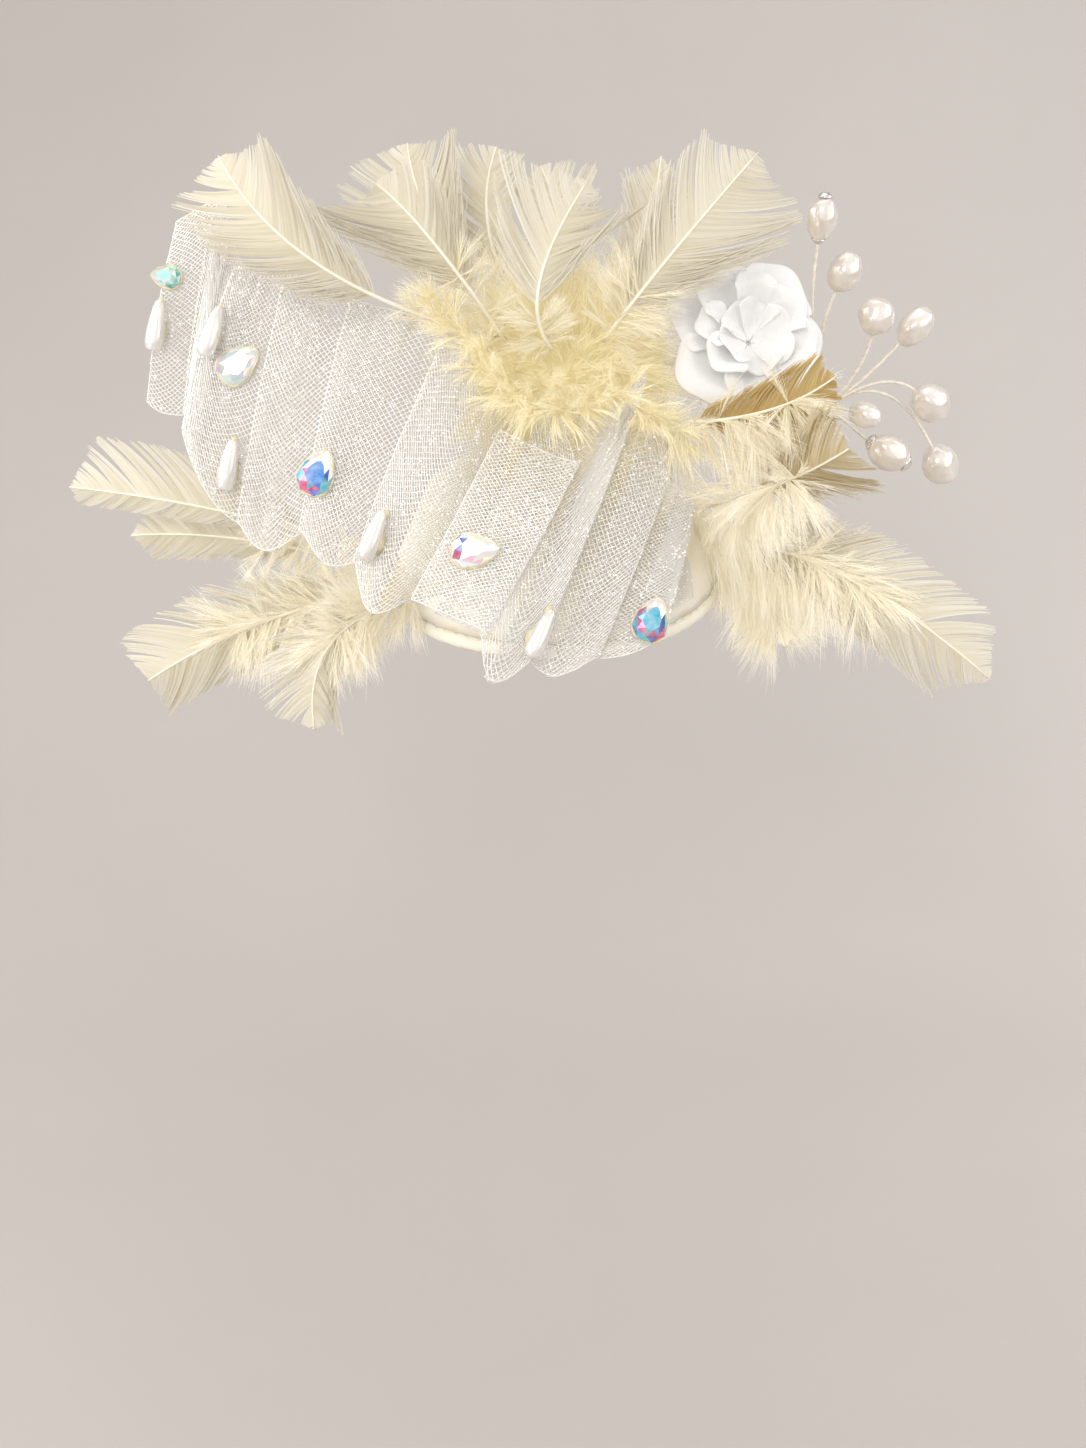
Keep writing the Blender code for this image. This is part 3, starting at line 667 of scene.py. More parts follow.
# Plumage finishes: pale and deep tones, the root's painted shade colour and its share, and a painted glow.
CREAM_FEATHER = PlumageFinish("Cream Feather", "D7D2C5", "C8BFA8", "D0C49C", 0.35, painted_glow=0.05)
WARM_FEATHER = PlumageFinish("Warm Feather", "CFC2A4", "B9A67C", "B29D6A", 0.5, painted_glow=0.04)
STRAW_FEATHER = PlumageFinish("Straw Feather", "C8B17A", "A38141", "9A7A3C", 0.5, painted_glow=0.02)
YELLOW_DOWN = PlumageFinish("Yellow Down", "F8F3E0", "F1E7C6", "ECDFAE", 0.5, painted_glow=0.12)
PALE_DOWN = PlumageFinish("Pale Down", "F0EBDC", "E6DDC7", "E2D6AE", 0.35, painted_glow=0.12)
CREAM_DOWN = PlumageFinish("Cream Down", "F6F2E8", "EDE6D5", "E9DFBC", 0.3, painted_glow=0.14)
QUILL = GlossFinish("Quill", "F4EFE2", "E9DEC0", 0.32, 0.2, 70.0, coat_roughness=0.03, patches=0.5)
NET_THREAD = NetFinish()
SATIN = ClothFinish("Cream Satin", "FFFEF8", "FBF3DE", 0.34, 0.35, 0.3, 45.0, 900.0, 0.25, anisotropic=0.45)
# The flower fabric has a painted glow that lifts its shade.
PETAL = ClothFinish("Flower Fabric", "E2E1E0", "DBDAD9", 0.85, 0.15, 0.5, 60.0, 700.0, 0.35, specular=0.2, painted_glow=0.17)
PEARL = GlossFinish("River Pearl", "F1EBE5", "DFD5CA", 0.17, 0.9, 160.0, 0.0002, 0.30, sheen=0.1)
DROP = GlossFinish("Moulded Pearl", "EFECE8", "DEDAD4", 0.16, 0.9, 200.0, metallic=0.3)
GLUE = GlossFinish("Set Glue", "F6F0D2", "F2E3AE", 0.28, 0.5, 300.0, 0.0003, transmission=0.3)
SILVER = GlossFinish("Silver Cap", "F2F0EE", "CFCBC8", 0.22, 0.2, 500.0, 0.0002, metallic=0.9)
WOUND_WIRE = GlossFinish("Wound Wire", "F4EFE4", "DDD3C2", 0.42, 0.1, 700.0, 0.0001)
COMB_PLASTIC = GlossFinish("Comb Plastic", "E9E4D8", "D9D2C2", 0.18, 0.5, 90.0, transmission=0.35)
CRYSTAL = FacetFinish()


# Satin base


@dataclass
class SatinBase:
    """The satin dome, its rolled binding and the comb inside it."""

    half_width: float = 0.053
    half_depth: float = 0.050
    height: float = 0.042
    wall: float = 0.0025
    tilt: float = math.radians(10)
    binding_radius: float = 0.0024
    columns: int = 96
    rows: int = 20
    puckers: int = 30
    pucker_depth: float = 0.0005
    binding_turns: int = 160
    binding_sides: int = 14
    wrinkles: int = 46
    stitches: int = 84
    stitch_length: float = 0.0030
    stitch_radius: float = 0.00022

    def sizes(self) -> Vector:
        """Return the half width, half depth and height."""
        return Vector((self.half_width, self.half_depth, self.height))

    def turned(self) -> Matrix:
        """Return the dome's forward tilt."""
        return Matrix.Rotation(self.tilt, 4, "X")

    def place(self, shares: Triple) -> Vector:
        """Turn shares of the base's sizes into a place."""
        return Vector(share * size for share, size in zip(shares, self.sizes()))

    def push_clear(self, point: Vector, clearance: float) -> Vector:
        """Move a point that lies inside the dome out onto it.

        Args:
            point: the point.
            clearance: how far off the dome it ends.

        Returns:
            The point itself where it is clear already, or the moved one.
        """
        grown = self.sizes() + Vector((clearance, clearance, clearance))
        local = self.turned().inverted() @ point
        ball = Vector(share / size for share, size in zip(local, grown))
        if ball.length >= 1 or local.z < 0:
            return point
        ball.normalize()
        return self.turned() @ Vector(share * size for share, size in zip(ball, grown))

    def rim_point(self, angle: float, inset: float, drop: float) -> Vector:
        """Return a place on the rim's oval, drawn in by an inset and let down by a drop."""
        return self.turned() @ Vector(((self.half_width - inset) * math.cos(angle),
                                       (self.half_depth - inset) * math.sin(angle), -drop))

    def build_dome(self) -> Piece:
        """Build the covered dome, puckered towards its rim, with its lining inside."""
        draft = Draft()
        rings = []
        layers = [(0.0, row / self.rows) for row in range(self.rows + 1)]
        layers += [(self.wall, 1 - row / self.rows) for row in range(self.rows + 1)]
        for inset, share in layers[:-1]:
            ring = []
            rise = math.sin(share * math.pi / 2)
            spread = math.cos(share * math.pi / 2)
            for column in range(self.columns):
                angle = math.tau * column / self.columns
                fold = math.sin(angle * self.puckers + 0.8 * math.sin(angle * 5))
                sink = self.pucker_depth * (0.5 - 0.5 * fold) * (1 - share) if inset == 0 else 0.0
                deep = inset + sink
                ring.append(self.turned() @ Vector((
                    (self.half_width - deep) * spread * math.cos(angle),
                    (self.half_depth - deep) * spread * math.sin(angle), (self.height - deep) * rise)))
            rings.append(ring)
        draft.add_rings(list(reversed(rings)), caps=True)
        dome = draft.build("satin_dome", [SATIN.material()])
        close_skin(dome)
        return hand_over(dome, Slot.SATIN, "base_dome")

    def build_binding(self) -> Piece:
        """Build the wrinkled satin roll under the rim."""
        draft = Draft()
        drop = self.binding_radius + SEAT_GAP
        rings = []
        for number in range(self.binding_turns):
            angle = math.tau * number / self.binding_turns
            middle = self.rim_point(angle, self.wall / 2, drop)
            outward = (self.rim_point(angle, -self.wall, drop) - middle).normalized()
            upward = self.turned() @ Vector((0, 0, 1))
            ring = []
            for side in range(self.binding_sides):
                turn = math.tau * side / self.binding_sides
                wrinkle = 0.05 * math.sin(angle * self.wrinkles + 2.2 * turn)
                wrinkle += 0.03 * noise.noise(Vector((angle * 9, turn, 0)))
                reach = self.binding_radius * (0.97 + wrinkle)
                ring.append(middle + outward * (reach * math.cos(turn)) + upward * (reach * math.sin(turn)))
            rings.append(ring)
        rings.append(rings[0])
        draft.add_rings(rings, caps=False)
        binding = draft.build("satin_binding", [SATIN.material()])
        close_skin(binding)
        return hand_over(binding, Slot.SATIN, "edge_binding")

    def build_stitches(self) -> Piece:
        """Build the slip stitches that hold the binding, laid out along the rim by a tree."""
        count = 2 * self.stitches
        points = [self.rim_point(math.tau * number / count, -SEAT_GAP, SEAT_GAP) for number in range(count)]
        piece = start_piece("rim_stitches", points, [(number, (number + 1) % count) for number in range(count)])
        run_tree(piece, stitch_tree(), {"Count": self.stitches, "Length": self.stitch_length,
                                        "Radius": self.stitch_radius, "Material": SATIN.material()})
        return hand_over(piece, Slot.SATIN)

    def build(self) -> None:
        """Build the whole base, and give the frame's comb its clear plastic."""
        self.build_dome()
        self.build_binding()
        self.build_stitches()
        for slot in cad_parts["hair_comb"].material_slots:
            slot.material = COMB_PLASTIC.material()


def close_skin(piece: Piece) -> None:
    """Merge a skin's doubles and turn its faces outwards."""
    shape = bmesh.new()
    shape.from_mesh(piece.data)
    bmesh.ops.remove_doubles(shape, verts=shape.verts, dist=0.00001)
    bmesh.ops.recalc_face_normals(shape, faces=shape.faces)
    shape.to_mesh(piece.data)
    shape.free()


@drawn_group("Stitches Along Path", "GeometryNodeTree",
             {"Geometry": None, "Count": 80, "Length": 0.003, "Radius": 0.0002, "Material": None}, {"Geometry": None})
def stitch_tree(canvas: NodeCanvas, given: Sockets) -> Wire:
    """Draw short stitches: a small rod on each evenly spaced point of a path, turned along it."""
    curve = canvas.node("GeometryNodeMeshToCurve", {"Mesh": given["Geometry"]})
    points = canvas.node("GeometryNodeCurveToPoints", {"Curve": curve, "Count": given["Count"]},
                         mode="COUNT")
    half = canvas.math("MULTIPLY", given["Length"], 0.5)
    stitch = canvas.node("GeometryNodeMeshCylinder", {
        "Vertices": 6, "Radius": given["Radius"], "Depth": half}, fill_type="TRIANGLE_FAN")
    placed = canvas.node("GeometryNodeInstanceOnPoints", {
        "Points": points.outputs["Points"], "Instance": stitch.outputs["Mesh"],
        "Rotation": points.outputs["Rotation"]})
    return dressed(canvas, given, canvas.node("GeometryNodeRealizeInstances", {"Geometry": placed}))


def dressed(canvas: NodeCanvas, given: Sockets, geometry: Wire) -> Node:
    """Give a tree's geometry the tree's Material input."""
    return canvas.node("GeometryNodeSetMaterial", {"Geometry": geometry, "Material": given["Material"]})


# Pleated net


@drawn_group("Threads Along Paths", "GeometryNodeTree",
             {"Geometry": None, "Radius": 0.0002, "Sides": 4, "Material": None}, {"Geometry": None})
def thread_tree(canvas: NodeCanvas, given: Sockets) -> Wire:
    """Draw threads: a small ring swept along each path, at the radius that the point's thickness asks for."""
    curve = canvas.node("GeometryNodeMeshToCurve", {"Mesh": given["Geometry"]})
    thickness = canvas.node("GeometryNodeInputNamedAttribute", {"Name": "thickness"}, data_type="FLOAT")
    sized = canvas.node("GeometryNodeSetCurveRadius", {"Curve": curve, "Radius": thickness})
    ring = canvas.node("GeometryNodeCurvePrimitiveCircle", {
        "Resolution": given["Sides"], "Radius": given["Radius"]})
    thread = canvas.node("GeometryNodeCurveToMesh", {
        "Curve": sized, "Profile Curve": ring.outputs["Curve"], "Fill Caps": True})
    if "Scale" in thread.inputs:
        canvas.feed(thread.inputs["Scale"], thickness)
    smooth = canvas.node("GeometryNodeSetShadeSmooth", {"Geometry": thread})
    return dressed(canvas, given, canvas.node("GeometryNodeRealizeInstances", {"Geometry": smooth}))


@dataclass(frozen=True)
class Fold:
    """A fold of the net. Its top is in shares of the base's sizes, and the way from there to the hem, the
    lobe and the reach are in shares of the net's width."""

    top: Triple
    hem: Triple
    lobe: float = 0.0
    reach: float = 0.0
    pleat: bool = True


LEFT_FOLDS = (
    Fold((-2.08, -0.28, 2.64), (-0.13, -0.16, -0.67), 0.03, pleat=False),
    Fold((-1.83, -0.36, 2.80), (-0.15, -0.16, -0.79), 0.03),
    Fold((-1.72, -0.48, 2.40), (-0.22, -0.18, -0.63), 0.05),
    Fold((-1.44, -0.60, 2.35), (-0.20, -0.21, -0.93), 0.08),
    Fold((-1.08, -0.68, 2.17), (-0.20, -0.26, -0.83), 0.08),
    Fold((-0.55, -0.72, 1.97), (-0.36, -0.32, -0.82), 0.10),
    Fold((-0.36, -0.84, 1.48), (-0.31, -0.32, -0.69), pleat=False),
    Fold((-0.15, -0.50, 1.24), (-0.18, -0.17, -0.58), pleat=False),
)
RIGHT_FOLDS = (
    Fold((0.62, -0.34, 0.48), (0.00, -0.08, -0.26), pleat=False),
    Fold((0.82, -0.64, 0.72), (-0.14, -0.34, -0.43), 0.02),
    Fold((0.65, -0.76, 0.94), (-0.28, -0.37, -0.61), 0.06, 0.15),
    Fold((0.41, -0.84, 1.25), (-0.35, -0.39, -0.76), 0.14, 0.30),
    Fold((0.15, -0.96, 1.11), (-0.35, -0.37, -0.56)),
    Fold((-0.28, -0.88, 1.31), (-0.33, -0.34, -0.57), pleat=False),
)


@dataclass(frozen=True)
class Station:
    """A place along the pleated strip: its fold place, its layer and its reach above the fold's top."""

    place: float
    level: float
    reach: float

    def towards(self, other: "Station", share: float) -> "Station":
        """Return the station at a share of the way to another."""
        return Station(self.place + (other.place - self.place) * share,
                       self.level + (other.level - self.level) * share,
                       self.reach + (other.reach - self.reach) * share)


@dataclass
class PleatedNet:
    """A strip of open net, cut straight, folded into knife pleats and gathered where it is sewn on."""

    name: str
    node: str
    folds: tuple[Fold, ...]
    stack: Vector
    base: SatinBase
    width: float = 0.076
    pleat_rise: float = 0.0022
    pleat_return: float = 0.55
    bulge: float = 0.003
    thread_radius: float = 0.00016
    thread_spacing: float = 0.00125
    knot_step: int = 2
    gather: float = 0.0004
    gather_pitch: float = 0.0052
    edge_thickness: float = 1.15
    slack: float = 0.00018
    wrinkle: float = 0.0009
    glint_share: float = 0.06
    glint_thickness: float = 1.6
    glint_length: float = 0.00035

    def __post_init__(self) -> None:
        """Work out each fold's top and hem."""
        self.stack = self.stack.normalized()
        self.last = sum(fold.pleat for fold in self.folds)
        self.tops = [self.base.place(fold.top) - self.stack * (self.pleat_rise * self.level(number))
                     for number, fold in enumerate(self.folds)]
        self.hems = [Vector(fold.hem) * self.width for fold in self.folds]

    def level(self, place: float) -> int:
        """Return how many layers lie under the panel at a place."""
        return 2 * min(int(place), self.last)

    def point(self, place: float, down: float, level: float) -> Vector:
        """Return a place on the net.

        Args:
            place: the fold place along the strip.
            down: 0 at the fold's top and 1 at the hem.
            level: the layer.
        """
        hem = smooth_place(self.hems, place)
        index = min(int(place), len(self.folds) - 1)
        lobe = self.folds[index].lobe * self.width * math.sin(math.pi * (place - index))
        bulge = self.stack * (self.bulge * 4 * down * (1 - down))
        return (smooth_place(self.tops, place) + (hem + hem.normalized() * lobe) * down + bulge
                + self.stack * (self.pleat_rise * level))

    def turn(self, place: float, level: float, way: int, reach: float) -> list[Station]:
        """Return the two stations that round a fold off."""
        step = 0.05
        speed = (self.point(place + step, 0.5, 0) - self.point(place, 0.5, 0)).length / step
        out = way * self.pleat_rise / 2 * math.cos(math.radians(30)) / speed
        return [Station(place + out, level + 0.25, reach), Station(place + out, level + 0.75, reach)]

    @staticmethod
    def leg(start: Station, end: Station, steps: int) -> list[Station]:
        """Return even steps from one station to another."""
        return [start.towards(end, step / steps) for step in range(steps + 1)]

    def route(self) -> list[Station]:
        """Return stations along the strip, from its undermost end to its top end."""
        route: list[Station] = []
        for fold in range(1, self.last + 1):
            start, hidden = fold - 1, fold + self.pleat_return
            reach, following = self.folds[start].reach, self.folds[fold].reach
            level = 2 * start
            route += self.leg(Station(start, level, reach), Station(hidden, level, reach), 12)
            route += self.turn(hidden, level, 1, reach)
            route += self.leg(Station(hidden, level + 1, reach), Station(fold, level + 1, following), 4)
            route += self.turn(fold, level + 1, -1, following)
        top, reach = 2 * self.last, self.folds[self.last].reach
        return route + self.leg(Station(self.last, top, reach), Station(len(self.folds) - 1, top, reach), 12)

    def spaced(self, step: float) -> tuple[list[Station], float]:
        """Return stations at an even step along the strip, and the strip's length."""
        route = self.route()
        travelled = [0.0]
        for before, after in zip(route, route[1:]):
            travelled.append(travelled[-1] + (self.point(after.place, 0.5, after.level)
                                              - self.point(before.place, 0.5, before.level)).length)
        length = travelled[-1]
        count = round(length / step)
        stations, leg = [], 0
        for number in range(count + 1):
            distance = length * number / count
            while leg < len(route) - 2 and travelled[leg + 1] < distance:
                leg += 1
            share = (distance - travelled[leg]) / max(travelled[leg + 1] - travelled[leg], 1e-9)
            stations.append(route[leg].towards(route[leg + 1], share))
        return stations, length

    def surface(self) -> tuple[list[list[Vector]], list[int], float]:
        """Return the net's crossings column by column, the columns at its creases, and the strip's length."""
        step = self.thread_spacing / math.sqrt(2)
        rows = round(self.width / step)
        stations, length = self.spaced(step)
        columns = []
        for number, station in enumerate(stations):
            distance = length * number / (len(stations) - 1)
            column = []
            for row in range(rows + 1):
                down = -station.reach + (1 + station.reach) * row / rows
                place = self.point(station.place, down, station.level)
                tight = max(0.0, 1 - max(down, 0.0)) ** 2
                ripple = math.sin(math.tau * distance / self.gather_pitch + 1.3 * math.sin(distance * 160))
                place += self.stack * (self.gather * tight * ripple)
                place += self.stack * (self.wrinkle * noise.noise(place * 70)) + noise.noise_vector(
                    place * 900) * self.slack
                column.append(self.base.push_clear(place, SEAT_GAP + 0.0012 + 0.0004 * station.level))
            columns.append(column)
        creases = [number for number, (before, here) in enumerate(zip(stations, stations[1:]))
                   if int(before.level + 0.5) != int(here.level + 0.5)]
        return columns, creases, length

    def build(self) -> Piece:
        """Build the strip's threads, its firm edges and its painted glints."""
        columns, creases, length = self.surface()
        wide, tall = len(columns), len(columns[0])
        dice = random.Random(len(columns))
        points: list[Vector] = []
        edges: list[tuple[int, int]] = []
        glints: list[float] = []
        thickness: list[float] = []

        def lay(path: list[Vector], size: float, glint: float = 0.0) -> None:
            """Lay one thread along a path."""
            if len(path) < 2:
                return
            start = len(points)
            points.extend(path)
            glints.extend([glint] * len(path))
            thickness.extend([size] * len(path))
            edges.extend((start + number, start + number + 1) for number in range(len(path) - 1))

        lift = self.stack * (self.thread_radius * 0.5)
        for way in (1, -1):
            for first in range(-tall + 1, wide) if way == 1 else range(wide + tall - 1):
                if first % 2:
                    continue
                cells = [(first + way * row, row) for row in range(tall) if 0 <= first + way * row < wide]
                kept = cells[::self.knot_step]
                if cells and kept[-1] != cells[-1]:
                    kept.append(cells[-1])
                lay([columns[column][row] + lift * way for column, row in kept], 1.0)
        for row in (0, tall - 1):
            lay([column[row] for column in columns[::self.knot_step]], self.edge_thickness)
        for column in (0, *creases, wide - 1):
            lay(columns[column][::self.knot_step], self.edge_thickness)
        # Painted glints: short, thick pieces at random crossings, which the thread finish paints white and glowing.
        for _ in range(round(self.glint_share * wide * tall)):
            column, row = dice.randrange(wide - 1), dice.randrange(tall - 1)
            crossing = columns[column][row] + self.stack * self.thread_radius
            half = (columns[column + 1][row + 1] - columns[column][row]).normalized() * (self.glint_length / 2)
            lay([crossing - half, crossing + half], self.glint_thickness, dice.uniform(0.5, 1.0))
        net = start_piece(self.name, points, edges, thickness=thickness, glint=glints)
        run_tree(net, thread_tree(), {"Radius": self.thread_radius, "Sides": 4, "Material": NET_THREAD.material()})
        drop_attributes(net.data, ("thickness",))
        hand_over(net, Slot.NET, self.node)
        log.info("%s: strip %.0f by %.0f mm", self.name, self.width * 1000, length * 1000)
        return net

    def seat(self, place: float, down: float, turn: float, height: float) -> Matrix:
        """Return the turned place of a jewel on the net.

        Args:
            place: the fold place along the strip.
            down: the way from the top to the hem.
            turn: how far the jewel's point is turned from straight up, in degrees.
            height: how high the jewel's middle lies over the net's wall.
        """
        level, step, half_wall = self.level(place), 0.05, 0.0005
        middle = self.point(place, down, level)
        hang = (self.point(place, down + step, level) - middle).normalized()
        across = self.point(place + step, down, level) - middle
        outward = hang.cross(across).normalized()
        if outward.dot(self.stack) < 0:
            outward.negate()
        up = Matrix.Rotation(math.radians(turn), 3, outward) @ -hang
        turned = Matrix((up.cross(outward), up, outward)).transposed().to_4x4()
        return Matrix.Translation(middle + outward * (half_wall + SEAT_GAP + height)) @ turned


def drop_attributes(mesh: Mesh, names: Sequence[str]) -> None:
    """Remove attributes that only the mesh's making needed."""
    for name in names:
        found = mesh.attributes.get(name)
        if found:
            mesh.attributes.remove(found)


# Strands: barbs and down


@drawn_group("Strands On Points", "GeometryNodeTree",
             {"Geometry": None, "Segments": 4, "Tip Share": 0.2, "Material": None}, {"Geometry": None})
def strand_tree(canvas: NodeCanvas, given: Sockets) -> Wire:
    """Draw tapered ribbons: a flat strip on every point, its points carried out along the strand's bow."""
    def stored(geometry: Wire, label: str, value: Wire, data_type: str = "FLOAT") -> Node:
        """Keep a value for every point under a name."""
        return canvas.node("GeometryNodeStoreNamedAttribute", {"Geometry": geometry, "Name": label, "Value": value},
                           data_type=data_type, domain="POINT")

    def named(label: str, data_type: str = "FLOAT_VECTOR") -> Socket:
        """Return a kept value's socket."""
        return canvas.node("GeometryNodeInputNamedAttribute", {"Name": label},
                           data_type=data_type).outputs["Attribute"]

    place = canvas.node("GeometryNodeInputPosition")
    rooted = stored(given["Geometry"], "root", place, "FLOAT_VECTOR")
    rows = canvas.math("ADD", given["Segments"], 1.0)
    strip = canvas.node("GeometryNodeMeshGrid", {"Size X": 1.0, "Size Y": 1.0, "Vertices X": 2, "Vertices Y": rows})
    split = canvas.node("ShaderNodeSeparateXYZ", {"Vector": place})
    sided = stored(strip.outputs["Mesh"], "side", split.outputs["X"])
    marked = stored(sided, "along", canvas.math("ADD", split.outputs["Y"], 0.5))
    placed = canvas.node("GeometryNodeInstanceOnPoints", {"Points": rooted, "Instance": marked})
    real = canvas.node("GeometryNodeRealizeInstances", {"Geometry": placed})
    along, side = named("along", "FLOAT"), named("side", "FLOAT")
    squared = canvas.math("MULTIPLY", along, along)
    reached = canvas.vector("SCALE", named("reach"), along)
    sagged = canvas.vector("SCALE", named("sag"), squared)
    narrowing = canvas.math("SUBTRACT", given["Tip Share"], 1.0)
    taper = canvas.math("MULTIPLY_ADD", squared, narrowing, 1.0)
    half = canvas.math("MULTIPLY", canvas.math("MULTIPLY", side, taper), named("width", "FLOAT"))
    spread = canvas.vector("SCALE", named("across"), half)
    carried = canvas.vector("ADD", canvas.vector("ADD", named("root"), reached),
                            canvas.vector("ADD", sagged, spread))
    moved = canvas.node("GeometryNodeSetPosition", {"Geometry": real, "Position": carried})
    return dressed(canvas, given, canvas.node("GeometryNodeSetShadeSmooth", {"Geometry": moved}))


class Strand(NamedTuple):
    """A strand that is still a point: its root, the way that it sets out, as long as the strand, how far its tip
    bows away from there, the way its breadth runs, its breadth at the root, and its tone from pale to deep."""

    root: Vector
    reach: Vector
    sag: Vector
    across: Vector
    width: float
    tone: float


def build_strands(name: str, strands: Sequence[Strand], finish: Finish, segments: int,
                  tip_share: float) -> Piece:
    """Turn strands into ribbons.

    Args:
        name: the object's name.
        strands: the strands.
        finish: the ribbons' finish.
        segments: faces along a ribbon.
        tip_share: the tip's breadth as a share of the root's.

    Returns:
        The object.
    """
    roots, *values = zip(*strands)
    piece = start_piece(name, roots, **dict(zip(Strand._fields[1:], values)))
    run_tree(piece, strand_tree(), {"Segments": segments, "Tip Share": tip_share, "Material": finish.material()})
    drop_attributes(piece.data, ("root", "reach", "sag", "across", "width", "side"))
    return piece


def any_way(dice: random.Random) -> Vector:
    """Return a random direction."""
    return Vector((dice.gauss(0, 1), dice.gauss(0, 1), dice.gauss(0, 1))).normalized()


def held(value: float) -> float:
    """Return a value held between 0 and 1."""
    return min(1.0, max(0.0, value))


@dataclass
class Plumelet:
    """A wisp of down: a tuft of long fine hairs that part a little on their way."""

    root: Vector
    axis: Vector
    strands: int = 24
    tone: float = 0.5
    droop: float = 0.18
    spread: float = 0.34
    width: float = 0.00017
    bow: float = 0.16
    start_reach: float = 0.6
    scatter: float = 0.07

    def grow(self, into: list[Strand], dice: random.Random) -> None:
        """Add the wisp's strands.

        Args:
            into: where the strands go.
            dice: the random source.
        """
        length = self.axis.length
        forward = self.axis.normalized()
        bow = any_way(dice) * (length * self.bow) + Vector((0, 0, -self.droop * length))
        for _ in range(self.strands):
            share = self.start_reach * dice.random() ** 1.5
            start = self.root + self.axis * share + bow * share ** 2
            out = any_way(dice)
            out = (out - forward * out.dot(forward)).normalized()
            size = length * (1 - share) * dice.uniform(0.5, 1.05)
            reach = (forward + out * (self.spread * dice.random()) + bow * (2 * share / length)).normalized() * size
            sag = bow * (size / length) ** 2 + any_way(dice) * (size * self.scatter)
            into.append(Strand(start, reach, sag, any_way(dice), self.width * dice.uniform(0.7, 1.2),
                               held(self.tone + dice.uniform(-0.3, 0.3))))


def seat_on(tree: BVHTree, middle: Vector, direction: Vector, along: Vector, radius: float,
            far: float) -> Vector:
    """Find where a round foot clears a body.

    Args:
        tree: the body.
        middle: the body's middle.
        direction: the way from the middle to the foot.
        along: the way that the foot runs.
        radius: the foot's radius.
        far: a distance that lies outside the body.

    Returns:
        The foot's place.
    """
    outward = direction.normalized()
    place, normal = tree.ray_cast(middle + outward * far, -outward)[:2]
    lean = radius * along.normalized().cross(normal).length
    return place + outward * ((SEAT_GAP + lean) / outward.dot(normal))


class Seat(Enum):
    """What a feather's shaft is sewn to."""

    BASE = "base_dome"
    PUFF = "marabou_puff"


@dataclass(frozen=True)
class Plume:
    """A feather's row. The root is a direction from the seat's middle, length, bend and tip are shares of the
    feathers' length, and left and right are the barbs' lengths. Barbs start at bare, are loose for the share
    called soft, and each side's cut gives its tip."""

    name: str
    seat: Seat
    root: Triple
    length: float
    bend: Triple
    tip: Triple
    left: float
    right: float
    bare: float
    left_cut: float
    right_cut: float
    finish: PlumageFinish = CREAM_FEATHER
    slot: Slot = Slot.FEATHER
    down_finish: PlumageFinish = CREAM_DOWN
    left_splits: tuple[float, ...] = (0.3, 0.55, 0.8)
    right_splits: tuple[float, ...] = (0.35, 0.6, 0.85)
    soft: float = 0.25
    down: int = 30
    down_length: float = 0.014
    down_reach: float = 0.45
    hang: float = 0.3


